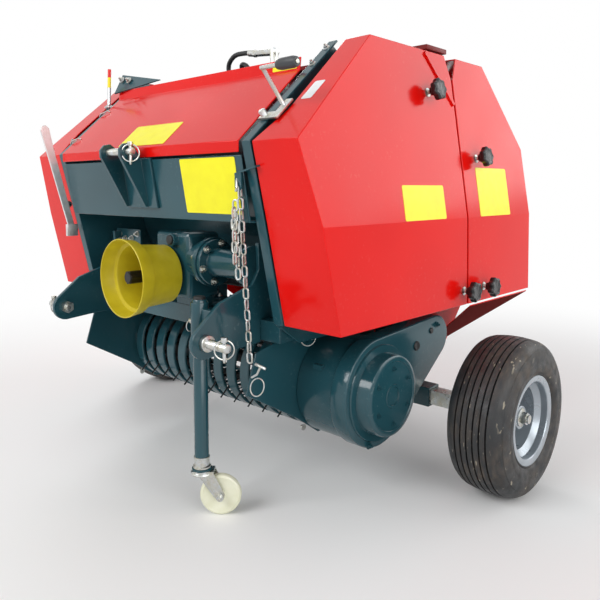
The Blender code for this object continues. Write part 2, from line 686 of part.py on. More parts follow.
def crank_handle():
    """Tying crank on the left slope flange: flat arm, rod that stands off it, turned grip."""
    pivot = Vector((0.4165, -0.4545, 0.9310)) + SLOPE_OUT * 0.0045
    outline = [(-0.012, 0.0), (0.046, 0.0), (0.046, 0.066), (0.026, 0.066), (0.026, 0.022), (-0.012, 0.022)]
    arm = slope_plate("crank_handle", pivot, outline, 0.005)
    stud = pivot + SLOPE_UP * 0.011
    nut = rod("nut", stud, stud + SLOPE_OUT * 0.018, 0.0085, 6)
    foot = pivot + Vector((0.034, 0, 0)) + SLOPE_UP * 0.044 + SLOPE_OUT * 0.001
    elbow = foot + SLOPE_OUT * 0.098
    handle = rod("handle", foot, elbow, 0.0048, 10)
    bar = rod("bar", elbow - Vector((0.0048, 0, 0)), elbow + Vector((0.102, 0, 0)), 0.0048, 10)
    combine(arm, [nut, handle, bar])
    finish(arm, LOOKS["zinc"])
    start = elbow + Vector((0.046, 0, 0))
    inner = 0.0048 + GAP
    loop = [(inner, 0), (0.010, 0), (0.0125, 0.012), (0.0125, 0.044), (0.010, 0.054), (inner, 0.054)]
    finish(turned("crank_grip", loop, start, (1, 0, 0), 16), LOOKS["black"])


def slope_plate(name, corner, outline, thickness):
    """A flat plate that lies on the slope; its outline's pairs are (across, up the slope)."""
    base = [corner + Vector((across, 0, 0)) + SLOPE_UP * up for across, up in outline]
    verts = base + [v + SLOPE_OUT * thickness for v in base]
    count = len(base)
    faces = [list(range(count)), list(range(count, 2 * count))]
    faces += [[i, (i + 1) % count, count + (i + 1) % count, count + i] for i in range(count)]
    return outward(mesh_object(name, verts, faces))


def levers():
    """Flat lever on the right flange and the bale density rod above it."""
    lever = [(-0.446, 0.640), (-0.466, 0.640), (-0.550, 0.955), (-0.546, 0.968), (-0.534, 0.972)]
    lever += [(-0.524, 0.962), (-0.512, 0.905)]
    lever = [(y - 0.0195, z) for y, z in lever]
    bar = prism("side_lever", lever, "x", -0.4165, -0.4115)
    tab = box("tab", (-0.4165, -0.500, 0.640), (-0.4065, -0.4655, 0.676))
    finish(combine(bar, [tab]), LOOKS["zinc"])
    foot = Vector((-0.415, -0.3390, 1.0360)) + SLOPE_OUT * 0.0045
    stem = rod("bale_indicator", foot, foot + Vector((0, 0.006, 0.122)), 0.0055, 12)
    seat = rod("seat", foot, foot + SLOPE_OUT * 0.010, 0.010, 12)
    finish(combine(stem, [seat]), LOOKS["zinc"])


def hydraulics():
    """Valve block on the chamber shell, its elbow and the two hoses that loop over to the right."""
    block = box("hose_block", (0.196, -0.262, 1.030), (0.262, -0.215, 1.104))
    elbow = rod("elbow", (0.232, -0.240, 1.100), (0.232, -0.240, 1.148), 0.011, 12)
    nipple = rod("nipple", (0.243, -0.240, 1.137), (0.158, -0.240, 1.145), 0.009, 12)
    low = rod("low", (0.198, -0.232, 1.075), (0.176, -0.232, 1.075), 0.009, 12)
    foot = box("foot", (0.205, -0.250, 0.960), (0.255, -0.226, 1.034))
    finish(combine(block, [elbow, nipple, low, foot]), LOOKS["zinc"])
    routes = {
        "feed_hose": [
            (0.1575, -0.240, 1.145), (0.120, -0.240, 1.151), (0.075, -0.238, 1.150), (0.045, -0.234, 1.128),
            (0.048, -0.228, 1.092), (0.085, -0.222, 1.062), (0.130, -0.216, 1.040), (0.170, -0.190, 1.090),
        ],
        "return_hose": [
            (0.1755, -0.232, 1.075), (0.158, -0.232, 1.0755), (0.138, -0.232, 1.092), (0.112, -0.228, 1.120), (0.084, -0.220, 1.126),
            (0.078, -0.205, 1.100), (0.100, -0.185, 1.085), (0.150, -0.150, 1.092), (0.200, -0.120, 1.098),
        ],
    }
    for name, points in routes.items():
        hose(name, points)


def smooth_route(points, spacing):
    """Points along a Catmull-Rom curve through a route."""
    route = [Vector(p) for p in points]
    padded = [2 * route[0] - route[1]] + route + [2 * route[-1] - route[-2]]
    out = []
    for i in range(1, len(padded) - 2):
        before, start, end, after = padded[i - 1:i + 3]
        steps = max(1, round((end - start).length / spacing))
        for k in range(steps):
            t = k / steps
            out.append(0.5 * (
                2 * start + (end - before) * t
                + (2 * before - 5 * start + 4 * end - after) * t * t
                + (3 * start - before - 3 * end + after) * t ** 3
            ))
    out.append(route[-1])
    return out


def hose(name, points, radius=0.0065):
    route = smooth_route(points, 2.2 * 2 * radius)
    curve = bpy.data.curves.new(name, "CURVE")
    curve.dimensions = "3D"
    curve.bevel_depth = radius
    curve.bevel_resolution = 2
    curve.use_fill_caps = True
    spline = curve.splines.new("POLY")
    spline.points.add(len(route) - 1)
    for point, place in zip(spline.points, route):
        point.co = (*place, 1.0)
    obj = bpy.data.objects.new(name + "_path", curve)
    bpy.context.scene.collection.objects.link(obj)
    graph = bpy.context.evaluated_depsgraph_get()
    mesh = bpy.data.meshes.new_from_object(obj.evaluated_get(graph))
    bpy.data.objects.remove(obj, do_unlink=True)
    solid = bpy.data.objects.new(name, mesh)
    bpy.context.scene.collection.objects.link(solid)
    finish(outward(solid), LOOKS["black"])


# ---------------------------------------------------------------- assembly
def build():
    global ROOT
    clear_scene()
    ROOT = bpy.data.objects.new("machine", None)
    bpy.context.scene.collection.objects.link(ROOT)
    ROOT.location = (0, STATION_SHIFT, 0)
    frame_sides()
    cross_panels()
    hinge_beam()
    hitch_beam()
    top_link()
    hitch_arms()
    gearbox()
    pto()
    jack()
    axle()
    wheels()
    pickup_ends()
    pickup_bands()
    pickup_reel()
    drive_case()
    front_covers()
    tailgate()
    rear_covers()
    rollers()
    crank_handle()
    levers()
    hydraulics()
    bpy.context.view_layer.update()


build()
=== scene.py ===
# %% [markdown]
# # A compact round baler, dressed for its picture
# The imported model brings the working shapes: frame, covers, wheels, hitch. This script gives every
# surface its finish and adds the small hardware that a maker bolts on last. It starts by loading
# the fixed frame, with a helper that reads a part's box.

# %% The frame, and a part's box
import json
import math

import bmesh
import bpy
from mathutils import Matrix, Vector


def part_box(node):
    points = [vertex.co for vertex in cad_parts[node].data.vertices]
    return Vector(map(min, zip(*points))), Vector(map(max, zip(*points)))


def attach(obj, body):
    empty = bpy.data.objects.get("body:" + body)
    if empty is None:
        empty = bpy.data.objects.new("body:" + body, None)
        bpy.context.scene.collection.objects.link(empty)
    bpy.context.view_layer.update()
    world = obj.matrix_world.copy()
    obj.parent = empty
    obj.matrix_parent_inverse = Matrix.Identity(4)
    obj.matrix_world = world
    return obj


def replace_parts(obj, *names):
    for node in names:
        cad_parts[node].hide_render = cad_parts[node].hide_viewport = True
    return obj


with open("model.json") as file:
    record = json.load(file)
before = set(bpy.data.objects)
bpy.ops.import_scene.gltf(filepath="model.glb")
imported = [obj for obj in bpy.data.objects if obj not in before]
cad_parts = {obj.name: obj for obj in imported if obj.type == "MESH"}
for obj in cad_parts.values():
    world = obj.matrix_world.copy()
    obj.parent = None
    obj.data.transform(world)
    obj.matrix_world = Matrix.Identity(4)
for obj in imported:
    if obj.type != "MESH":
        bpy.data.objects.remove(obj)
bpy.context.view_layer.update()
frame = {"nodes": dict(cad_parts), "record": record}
scene = bpy.context.scene

# %% [markdown]
# ## The camera
# It stands low at the front left corner, turned 43 degrees, looking a few degrees down, as a
# person with a phone would. A small shift moves the frame down without tilting.

# %% Camera
CAMERA_PLACE = Vector((1.4407, -1.4013, 0.7860))
CAMERA_TURN = math.radians(43.1)
CAMERA_DOWN = math.radians(5.55)
SENSOR_MM = 36.0
LENS_MM = 38.18

camera = bpy.data.objects.new("camera", bpy.data.cameras.new("camera"))
scene.collection.objects.link(camera)
camera.data.sensor_width = SENSOR_MM
camera.data.lens = LENS_MM
camera.data.shift_y = -0.0833
camera.location = CAMERA_PLACE
camera.rotation_euler = (math.pi / 2 - CAMERA_DOWN, 0, CAMERA_TURN)
scene.camera = camera
scene.view_settings.view_transform = "Standard"
print("lens", LENS_MM, "mm at", tuple(round(v, 3) for v in CAMERA_PLACE))

# %% [markdown]
# ## Colours and nodes
# Colours are written as they look on a screen. The shader works in linear light, so one function
# turns one into the other. One more function adds a shader node with its settings and its links.

# %% Helpers for materials
def colour(code):
    """An sRGB hex colour as linear red, green, blue and alpha."""
    values = [int(code[i:i + 2], 16) / 255 for i in (1, 3, 5)]
    linear = [v / 12.92 if v <= 0.04045 else ((v + 0.055) / 1.055) ** 2.4 for v in values]
    return (*linear, 1.0)


def add(tree, kind, inputs=(), **settings):
    """A shader node with its settings; an input given as a socket is linked."""
    node = tree.nodes.new(kind)
    for key, value in settings.items():
        setattr(node, key, value)
    for key, value in dict(inputs).items():
        if isinstance(value, bpy.types.NodeSocket):
            tree.links.new(value, node.inputs[key])
        else:
            node.inputs[key].default_value = value
    return node


def start_finish(name, **sockets):
    """A material with its shader's constant values set, and the point on the piece as a socket."""
    finish = bpy.data.materials.new(name)
    finish.use_nodes = True
    tree = finish.node_tree
    shader = tree.nodes["Principled BSDF"]
    for key, value in sockets.items():
        shader.inputs[key.replace("_", " ").title().replace("Ior", "IOR")].default_value = value
    place = add(tree, "ShaderNodeTexCoord").outputs["Object"]
    return finish, tree, shader, place


def noise(tree, place, size_mm, detail=2.0, low=0.3, high=0.7, to=(0.0, 1.0)):
    """Cloudy pattern of a real grain size, spread between two values."""
    grain = add(tree, "ShaderNodeTexNoise", {"Vector": place, "Scale": 1000 / size_mm, "Detail": detail})
    spread = {"Value": grain.outputs["Fac"], "From Min": low, "From Max": high}
    spread.update({"To Min": to[0], "To Max": to[1]})
    return add(tree, "ShaderNodeMapRange", spread).outputs["Result"]


MIX_A, MIX_B, MIX_OUT = 6, 7, 2


def blend_colours(tree, amount, first, second):
    """Between two colours; each is a linear colour or a socket."""
    mix = add(tree, "ShaderNodeMix", data_type="RGBA")
    for key, value in ((0, amount), (MIX_A, first), (MIX_B, second)):
        if isinstance(value, bpy.types.NodeSocket):
            tree.links.new(value, mix.inputs[key])
        else:
            mix.inputs[key].default_value = value
    return mix.outputs[MIX_OUT]


def scaled(tree, value, factor):
    """A socket's value times a factor, which may be another socket."""
    return add(tree, "ShaderNodeMath", {0: value, 1: factor}, operation="MULTIPLY").outputs[0]


def two_tone(tree, shader, pattern, first, second):
    """Paint a shader between two screen colours by a pattern."""
    tree.links.new(blend_colours(tree, pattern, colour(first), colour(second)), shader.inputs["Base Color"])


def worn(tree, shader, place, size_mm, detail, rough):
    """Let the roughness wander between two values in patches of a real size."""
    tree.links.new(noise(tree, place, size_mm, detail, to=rough), shader.inputs["Roughness"])


def bumped(tree, shader, height, depth_mm, strength=1.0):
    """Raise the surface by a pattern, to a real depth."""
    bump = add(tree, "ShaderNodeBump", {"Height": height, "Distance": depth_mm / 1000, "Strength": strength})
    tree.links.new(bump.outputs["Normal"], shader.inputs["Normal"])


print("mid grey in linear light", round(colour("#808080")[0], 3))

# %% [markdown]
# ## Enamel
# The machine is sprayed with gloss alkyd enamel over primer. Sprayed paint has a faint orange
# peel, a few millimetres across, and a little dust that takes the shine off in patches. Both are
# noise on the piece's own coordinates, so they stay put when a cover swings.

# %% Enamel
def enamel(name, base, deep, dust, dust_share=0.12, rough=(0.12, 0.22), shine=0.24):
    finish, tree, shader, place = start_finish(name, specular_ior_level=shine)
    drift = noise(tree, place, 420)
    paint = blend_colours(tree, drift, colour(base), colour(deep))
    specks = noise(tree, place, 9, 3, 0.60, 0.72)
    patches = noise(tree, place, 160, 3, 0.45, 0.75)
    dusty = scaled(tree, scaled(tree, specks, patches), dust_share)
    tree.links.new(blend_colours(tree, dusty, paint, colour(dust)), shader.inputs["Base Color"])
    worn(tree, shader, place, 120, 3, rough)
    # Real orange peel is 2 to 4 mm across; drawn at 7 mm so that it shows at this distance.
    bumped(tree, shader, noise(tree, place, 7, 1), 0.02, 0.5)
    return finish


def painted_shade_below(finish, shade_tint):
    """Painted shade: turn the faces that look down towards a dark colour, and dull their shine."""
    tree = finish.node_tree
    shader = tree.nodes["Principled BSDF"]
    normal = add(tree, "ShaderNodeTexCoord").outputs["Normal"]
    facing_up = add(tree, "ShaderNodeSeparateXYZ", {"Vector": normal})
    spread = {"Value": facing_up.outputs["Z"], "From Min": -0.25, "From Max": -0.6}
    below = add(tree, "ShaderNodeMapRange", spread).outputs["Result"]
    paint = shader.inputs["Base Color"].links[0].from_socket
    # Painted shade: faces that look down blend towards the dark shade tint.
    tree.links.new(blend_colours(tree, below, paint, colour(shade_tint)), shader.inputs["Base Color"])
    shine = add(tree, "ShaderNodeMapRange", {"Value": below, "To Min": 0.2, "To Max": 0.02}).outputs["Result"]
    tree.links.new(shine, shader.inputs["Specular IOR Level"])
    dull = {"Value": below, "To Min": 0.15, "To Max": 0.75}
    rough = add(tree, "ShaderNodeMapRange", dull).outputs["Result"]
    tree.links.new(rough, shader.inputs["Roughness"])
    return finish


red_enamel = enamel("signal_red_enamel", "#E4100A", "#D40C07", "#E88A7C")
# The hinge beam is the same red enamel painted darker: painted shade, for the shadow it stands in between the
# covers.
painted_shade_red = enamel("red_enamel_painted_shade", "#7E100F", "#6A0C0B", "#A08070", 0.2, (0.3, 0.45), 0.2)
# The tailgate's red, with painted shade on the faces that look down.
apron_red_painted_shade = painted_shade_below(enamel("signal_red_enamel_painted_shade", "#E4100A", "#D40C07", "#E88A7C"), "#5E0F0C")
green_enamel = enamel("petrol_green_enamel", "#24505A", "#1C434C", "#8FA6A4", 0.22, (0.12, 0.24), 0.5)
print("enamels:", red_enamel.name, painted_shade_red.name, green_enamel.name)

# %% [markdown]
# ## Bright metal
# Pins, chain and nuts are zinc plated and passivated: a soft, slightly blue shine with cloudy,
# yellowish patches. The drawn wire and turned rod get the same finish. The chamber's rollers are
# bare rolled steel, darker, with fine marks along their length.

# %% Metals
def plated(name, base, tint, rough=(0.22, 0.42)):
    finish, tree, shader, place = start_finish(name, metallic=1.0)
    clouds = noise(tree, place, 14, 3)
    two_tone(tree, shader, clouds, base, tint)
    worn(tree, shader, place, 10, 3, rough)
    bumped(tree, shader, noise(tree, place, 3, 2), 0.008, 0.3)
    return finish


def rolled_steel():
    finish, tree, shader, place = start_finish("rolled_steel", metallic=1.0)
    along = add(tree, "ShaderNodeMapping", {"Vector": place, "Scale": (0.05, 1.0, 1.0)}).outputs["Vector"]
    streaks = noise(tree, along, 6, 4)
    two_tone(tree, shader, streaks, "#8B8C8E", "#6E6E70")
    worn(tree, shader, along, 9, 3, (0.30, 0.5))
    bumped(tree, shader, streaks, 0.05, 0.5)
    return finish


pale_bar = plated("satin_zinc_bar", "#DCDCDE", "#D2D0CE", (0.42, 0.55))
zinc = plated("zinc_plate", "#CDD2D6", "#C2BFB0")
steel = rolled_steel()


def wheel_enamel():
    """Aluminium-filled silver lacquer over a pressed steel rim."""
    finish, tree, shader, place = start_finish("silver_wheel_lacquer", metallic=0.55, coat_weight=0.3)
    flake = noise(tree, place, 60, 3)
    two_tone(tree, shader, flake, "#A9B1B8", "#98A1A8")
    worn(tree, shader, place, 40, 3, (0.24, 0.36))
    bumped(tree, shader, noise(tree, place, 6, 2), 0.02, 0.4)
    return finish


silver = wheel_enamel()
print("metals:", zinc.name, steel.name, silver.name)

# %% [markdown]
# ## Rubber and plastics
# The tyre has stood in a field: brown dust sits in patches and pale bits of straw stick to it.
# The shaft guard is blow-moulded polyethylene with a waxy sheen, the castor is cast nylon, and
# knobs and grip are moulded black plastic with a fine spark-eroded texture.

# %% Rubber and plastics
def dusty_tyre():
    finish, tree, shader, place = start_finish("dusty_tyre_rubber", specular_ior_level=0.55)
    around = add(tree, "ShaderNodeMapping", {"Vector": place, "Scale": (1.0, 0.3, 0.3)}).outputs["Vector"]
    dust = noise(tree, place, 120, 4, 0.40, 0.72)
    film = noise(tree, around, 9, 4, 0.35, 0.8)
    dirt = scaled(tree, dust, film)
    rubber = blend_colours(tree, dirt, colour("#202224"), colour("#5E5246"))
    bits = noise(tree, around, 6, 2, 0.66, 0.71)
    straw_patch = noise(tree, place, 90, 2, 0.47, 0.58)
    straw = scaled(tree, bits, straw_patch)
    tree.links.new(blend_colours(tree, straw, rubber, colour("#8F8777")), shader.inputs["Base Color"])
    worn(tree, shader, place, 30, 3, (0.38, 0.75))
    bumped(tree, shader, noise(tree, place, 4, 4), 0.4, 0.7)
    return finish


def moulded(name, base, deep, rough, grain_mm=2.5, depth_mm=0.05, **sockets):
    """A moulded plastic or rubber: an even colour, a little clouded, with a fine tool texture."""
    finish, tree, shader, place = start_finish(name, **sockets)
    clouds = noise(tree, place, 35, 3)
    two_tone(tree, shader, clouds, base, deep)
    worn(tree, shader, place, 18, 3, rough)
    bumped(tree, shader, noise(tree, place, grain_mm, 2), depth_mm, 0.6)
    return finish


tyre_rubber = dusty_tyre()
guard_yellow = moulded("guard_polyethylene", "#CDBB22", "#BFAC1C", (0.34, 0.46))
nylon = moulded("cast_nylon", "#E8E8D2", "#DCDCC0", (0.35, 0.5))
knob_black = moulded("knob_phenolic", "#141517", "#1B1C1F", (0.18, 0.32))
hose_black = moulded("hose_rubber", "#16181A", "#1F2123", (0.38, 0.55))
grip_grey = moulded("grip_plastic", "#3B3E42", "#303336", (0.4, 0.55))
shaft_black = moulded("phosphated_steel", "#17181A", "#222326", (0.3, 0.45), metallic=0.4)
label_yellow = moulded("label_vinyl_yellow", "#F6EF08", "#EFE600", (0.3, 0.4), 6, 0.01)
label_white = moulded("label_vinyl_white", "#EDEFF0", "#E4E6E8", (0.3, 0.4), 6, 0.01)
print("plastics:", guard_yellow.name, nylon.name, knob_black.name, grip_grey.name)

# %% [markdown]
# ## The bale indicator's colours
# The rod over the right flange is bare zinc below, with a yellow band and a red tip that show how
# full the chamber is. The bands are steps in height, so one piece carries all three finishes.

# %% Indicator finish
INDICATOR_YELLOW_Z, INDICATOR_RED_Z = 1.104, 1.136


def banded_rod():
    finish, tree, shader, place = start_finish("banded_indicator_paint")
    height = add(tree, "ShaderNodeSeparateXYZ", {"Vector": place}).outputs["Z"]
    above = []
    for level in (INDICATOR_YELLOW_Z, INDICATOR_RED_Z):
        step = add(tree, "ShaderNodeMath", {0: height, 1: level}, operation="GREATER_THAN")
        above.append(step.outputs[0])
    painted = blend_colours(tree, above[1], colour("#F2DC1A"), colour("#D9201A"))
    wear = noise(tree, place, 4, 3)
    metal = blend_colours(tree, wear, colour("#C9CCCF"), colour("#AEB0B0"))
    tree.links.new(blend_colours(tree, above[0], metal, painted), shader.inputs["Base Color"])
    bare = add(tree, "ShaderNodeMath", {0: 1.0, 1: above[0]}, operation="SUBTRACT").outputs[0]
    tree.links.new(bare, shader.inputs["Metallic"])
    worn(tree, shader, place, 8, 2, (0.28, 0.4))
    return finish


indicator_paint = banded_rod()
print("indicator:", indicator_paint.name)

# %% [markdown]
# ## Making pieces
# Every new piece is drawn into a bmesh with operators: a turned part is a spun outline, a plate is
# an extruded face, a bolt is a six-sided cone with equal ends. Small parts that share a body and a
# finish are drawn into one mesh. Each finished object stays at the origin, with its place in its
# mesh, and rides on a body.

# %% Helpers for pieces
def facing(direction, centre):
    """The turn that takes +Z to a direction, at a centre."""
    turn = Vector(direction).normalized().to_track_quat("Z", "Y").to_matrix().to_4x4()
    return Matrix.Translation(centre) @ turn


def pour(target, source, place=None):
    """Put one bmesh into another, with its normals outwards."""
    bmesh.ops.remove_doubles(source, verts=source.verts, dist=0.00001)
    bmesh.ops.recalc_face_normals(source, faces=source.faces)
    if place is not None:
        source.transform(place)
    carrier = bpy.data.meshes.new("carrier")
    source.to_mesh(carrier)
    source.free()
    target.from_mesh(carrier)
    bpy.data.meshes.remove(carrier)


def turn_into(target, outline, centre, direction, steps=48, closed=False):
    """Spin an outline of (radius, height) pairs round an axis."""
    work = bmesh.new()
    points = [work.verts.new((radius, 0, height)) for radius, height in outline]
    edges = [work.edges.new(pair) for pair in zip(points, points[1:])]
    if closed:
        edges.append(work.edges.new((points[-1], points[0])))
    bmesh.ops.spin(work, geom=points + edges, axis=(0, 0, 1), cent=(0, 0, 0), steps=steps,
                   angle=math.tau, use_merge=True)
    pour(target, work, facing(direction, centre))


def rod_into(target, start, end, radius, sides=16, end_radius=None):
    start, end = Vector(start), Vector(end)
    work = bmesh.new()
    bmesh.ops.create_cone(work, cap_ends=True, segments=sides, radius1=radius,
                          radius2=radius if end_radius is None else end_radius, depth=(end - start).length)
    pour(target, work, facing(end - start, (start + end) / 2))


def bolt_into(target, place, direction, size=0.013):
    """A hexagon head on a washer; size is the head's width across its corners."""
    way = Vector(direction).normalized()
    place = Vector(place)
    rod_into(target, place, place + way * 0.0015, size * 0.72, 20)
    rod_into(target, place + way * 0.0015, place + way * (0.0015 + size * 0.45), size / 2, 6)
    rod_into(target, place + way * 0.003, place + way * (0.004 + size * 0.62), size * 0.26, 10)


def push_out(work, face, shift):
    """Extrude a face and move its new end."""
    grown = bmesh.ops.extrude_face_region(work, geom=[face])
    moved = [g for g in grown["geom"] if isinstance(g, bmesh.types.BMVert)]
    bmesh.ops.translate(work, verts=moved, vec=shift)


def slab_into(target, corners, way, thickness, rounding=0.0, segments=3):
    """A plate: a face through its corners, with round corners if asked, pushed out along a way."""
    work = bmesh.new()
    face = work.faces.new([work.verts.new(c) for c in corners])
    if rounding:
        bmesh.ops.bevel(work, geom=list(work.verts), offset=rounding, segments=segments, profile=0.5,
                        affect="VERTICES", material=-1)
        face = work.faces[:][0]
    push_out(work, face, Vector(way).normalized() * thickness)
    pour(target, work)


def wire_into(target, points, radius, sides=8, closed=False):
    """Bent wire: a beveled curve through points, made a mesh."""
    curve = bpy.data.curves.new("wire", "CURVE")
    curve.dimensions = "3D"
    curve.bevel_depth = radius
    curve.bevel_resolution = max(0, sides // 2 - 2)
    curve.use_fill_caps = not closed
    spline = curve.splines.new("POLY")
    spline.points.add(len(points) - 1)
    for point, place in zip(spline.points, points):
        point.co = (*place, 1.0)
    spline.use_cyclic_u = closed
    holder = bpy.data.objects.new("wire", curve)
    scene.collection.objects.link(holder)
    mesh = bpy.data.meshes.new_from_object(holder.evaluated_get(bpy.context.evaluated_depsgraph_get()))
    work = bmesh.new()
    work.from_mesh(mesh)
    bpy.data.objects.remove(holder, do_unlink=True)
    bpy.data.meshes.remove(mesh)
    pour(target, work)


def ring_points(centre, across, along, radius_a, radius_b, steps):
    """Points round an ellipse in the plane of two directions."""
    across, along = Vector(across).normalized(), Vector(along).normalized()
    angles = [math.tau * i / steps for i in range(steps)]
    return [Vector(centre) + across * radius_a * math.cos(a) + along * radius_b * math.sin(a) for a in angles]


SMOOTH_BELOW = math.radians(35)


def piece(name, drawn, body, look):
    """Turn a bmesh into a finished piece on a body."""
    mesh = bpy.data.meshes.new(name)
    drawn.to_mesh(mesh)
    drawn.free()
    mesh.shade_smooth()
    mesh.set_sharp_from_angle(angle=SMOOTH_BELOW)
    mesh.materials.append(look)
    obj = bpy.data.objects.new(name, mesh)
    scene.collection.objects.link(obj)
    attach(obj, body)
    print(f"{name}: {len(mesh.polygons)} faces")
    return obj


print("shaded smooth below", round(math.degrees(SMOOTH_BELOW)), "degrees")

# %% [markdown]
# ## Folded sheet and welded frame
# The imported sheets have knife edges, and real folds and sheared edges are rounded, which is what
# catches the light. Each such node is copied, its loose triangles are merged into whole faces, and
# its sharp edges get a small round. The copy then stands for the node.

# %% Soft edges for the sheet and frame nodes
BODY_OF = {node: body for body, nodes in frame["record"]["behaviour"]["bodies"].items() for node in nodes}
SHARP = math.radians(28)


FLAT_ABOVE = 0.0012  # square metres; wide sheet faces are shaded flat


def softened(node, look, round_mm=1.2):
    work = bmesh.new()
    work.from_mesh(frame["nodes"][node].data)
    bmesh.ops.remove_doubles(work, verts=work.verts, dist=0.00002)
    bmesh.ops.dissolve_limit(work, angle_limit=math.radians(0.6), verts=work.verts, edges=work.edges)
    sharp = [e for e in work.edges if len(e.link_faces) == 2 and e.calc_face_angle(0) > SHARP]
    if round_mm:
        bmesh.ops.bevel(work, geom=sharp, offset=round_mm / 1000, offset_type="OFFSET", segments=2,
                        profile=0.5, affect="EDGES", clamp_overlap=True, material=-1)
    obj = piece(node + "_finished", work, BODY_OF[node], look)
    for polygon in obj.data.polygons:
        polygon.use_smooth = polygon.area < FLAT_ABOVE
    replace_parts(obj, node)
    return obj


SOFT_NODES = [  # (nodes, finish, edge round in mm)
    ("front_cover_left front_cover_right rear_cover_left rear_cover_right top_cover", red_enamel, 1.6),
    # The tailgate's red carries painted shade on its downward faces.
    ("tailgate", apron_red_painted_shade, 1.6),
    # The hinge beam's darker red is painted shade.
    ("hinge_beam", painted_shade_red, 1.2),
    ("frame_side_left frame_side_right front_panel chamber_shell", green_enamel, 1.2),
    ("hitch_beam top_link_bracket", green_enamel, 1.2),
    ("lower_arm_left lower_arm_right drive_tube gearbox axle_tube pickup_end_left", green_enamel, 1.5),
    ("pickup_end_right jack_sleeve", green_enamel, 1.0),
    ("axle_bar castor_fork hose_block", zinc, 0.6),
    ("side_lever", pale_bar, 0.8),
    ("top_link_pin lower_pin_left lower_pin_right crank_handle", zinc, 0.5),
    ("bale_indicator", indicator_paint, 0.4),
    ("crank_grip", grip_grey, 0.8),
    ("pickup_reel", shaft_black, 0.0),
]
for names, look, round_mm in SOFT_NODES:
    for node in names.split():
        softened(node, look, round_mm)

# %% [markdown]
# ## Wheels
# A ribbed implement tyre: six narrow grooves run round the tread, and the shoulder and bead carry
# raised rings. It could be modelled flat and bent, but a spun outline with the grooves drawn in is
# exact and cheap. The rim is spun too, and gets its nut, washer and rubber valve.

# %% Tyre and rim
HUB_X, HUB_Y, HUB_Z = 0.738, 0.1355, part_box("tyre_left")[1].z / 2
TYRE_R = HUB_Z
SHOULDER = 0.0480  # half width of the tread
TREAD_DROP = 0.0045
GROOVES = [-0.0400, -0.0240, -0.0080, 0.0080, 0.0240, 0.0400]
GROOVE_HALF, GROOVE_DEEP = 0.0022, 0.0065
SIDEWALL = [  # (radius, offset) from bead to shoulder
    (0.1016, 0.0625), (0.1130, 0.0660), (0.1165, 0.0705), (0.1195, 0.0690), (0.1250, 0.0745),
    (0.1350, 0.0768), (0.1440, 0.0775), (0.1455, 0.0768), (0.1500, 0.0775), (0.1640, 0.0762),
    (0.1760, 0.0730), (0.1775, 0.0708), (0.1830, 0.0690), (0.1900, 0.0640), (0.1950, 0.0570),
    (0.1985, 0.0480),
]


def tread_radius(offset):
    return TYRE_R - TREAD_DROP * (offset / SHOULDER) ** 2


def tyre_outline():
    outline = [(r, -o) for r, o in SIDEWALL]
    for middle in GROOVES:
        low, high = middle - GROOVE_HALF, middle + GROOVE_HALF
        outline += [(tread_radius(low), low), (tread_radius(middle) - GROOVE_DEEP, low + 0.0006)]
        outline += [(tread_radius(middle) - GROOVE_DEEP, high - 0.0006), (tread_radius(high), high)]
    return outline + [(r, o) for r, o in reversed(SIDEWALL)]


RIM = [  # (radius, distance out) of the pressed rim, its disc and its hub tube
    (0.0138, -0.045), (0.030, -0.045), (0.030, -0.0295), (0.083, -0.0250), (0.083, -0.0400),
    (0.0975, -0.0500), (0.0975, -0.0665), (0.1135, -0.0705), (0.1145, -0.0670), (0.1012, -0.0630),
    (0.1012, -0.0480), (0.0862, -0.0380), (0.0862, 0.0340), (0.1012, 0.0460), (0.1012, 0.0630),
    (0.1120, 0.0655), (0.1145, 0.0672), (0.1140, 0.0698), (0.1110, 0.0705), (0.0990, 0.0675),
    (0.0975, 0.0655), (0.0975, 0.0490), (0.0960, 0.0470), (0.083, 0.0365), (0.0825, 0.0340),
    (0.083, -0.0180), (0.0800, -0.0210), (0.034, -0.0255), (0.030, -0.0240), (0.030, 0.0370),
    (0.029, 0.0380), (0.0138, 0.0380),
]


def wheel(word, side):
    hub, out, body = Vector((side * HUB_X, HUB_Y, HUB_Z)), (side, 0, 0), "wheel_" + word
    tyre, rim, nut, valve = (bmesh.new() for _ in range(4))
    turn_into(tyre, tyre_outline(), hub, out, 96, closed=True)
    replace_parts(piece("ribbed_tyre_" + word, tyre, body, tyre_rubber), "tyre_" + word)
    turn_into(rim, RIM, hub, out, 72, closed=True)
    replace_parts(piece("pressed_rim_" + word, rim, body, silver), "wheel_rim_" + word)
    face = hub + Vector((side * 0.0383, 0, 0))
    turn_into(nut, [(0, 0), (0.0235, 0), (0.0235, 0.002), (0.0200, 0.0035), (0, 0.0035)], face, out, 32)
    rod_into(nut, face + Vector((side * 0.0035, 0, 0)), face + Vector((side * 0.016, 0, 0)), 0.0165, 6)
    rod_into(nut, face, face + Vector((side * 0.022, 0, 0)), 0.0110, 20)
    wire_into(nut, [face + Vector((side * 0.019, dy, 0.001 * dy)) for dy in (-0.015, 0, 0.015)], 0.0016, 6)
    for i in range(5):
        angle = math.tau * (i + 0.3) / 5
        spot = hub + Vector((side * -0.0222, 0.055 * math.cos(angle), 0.055 * math.sin(angle)))
        bolt_into(nut, spot, out, 0.018)
    piece("hub_nut_" + word, nut, body, zinc)
    foot = hub + Vector((side * 0.010, -0.047, -0.067))
    tip = foot + Vector((side * 0.030, 0.012, 0.016))
    rod_into(valve, foot, foot.lerp(tip, 0.30), 0.0075, 16, 0.0055)
    rod_into(valve, foot.lerp(tip, 0.25), tip, 0.0046, 14)
    piece("valve_" + word, valve, body, hose_black)


wheel("left", 1)
wheel("right", -1)
print("tyre", round(2 * TYRE_R, 3), "m across")

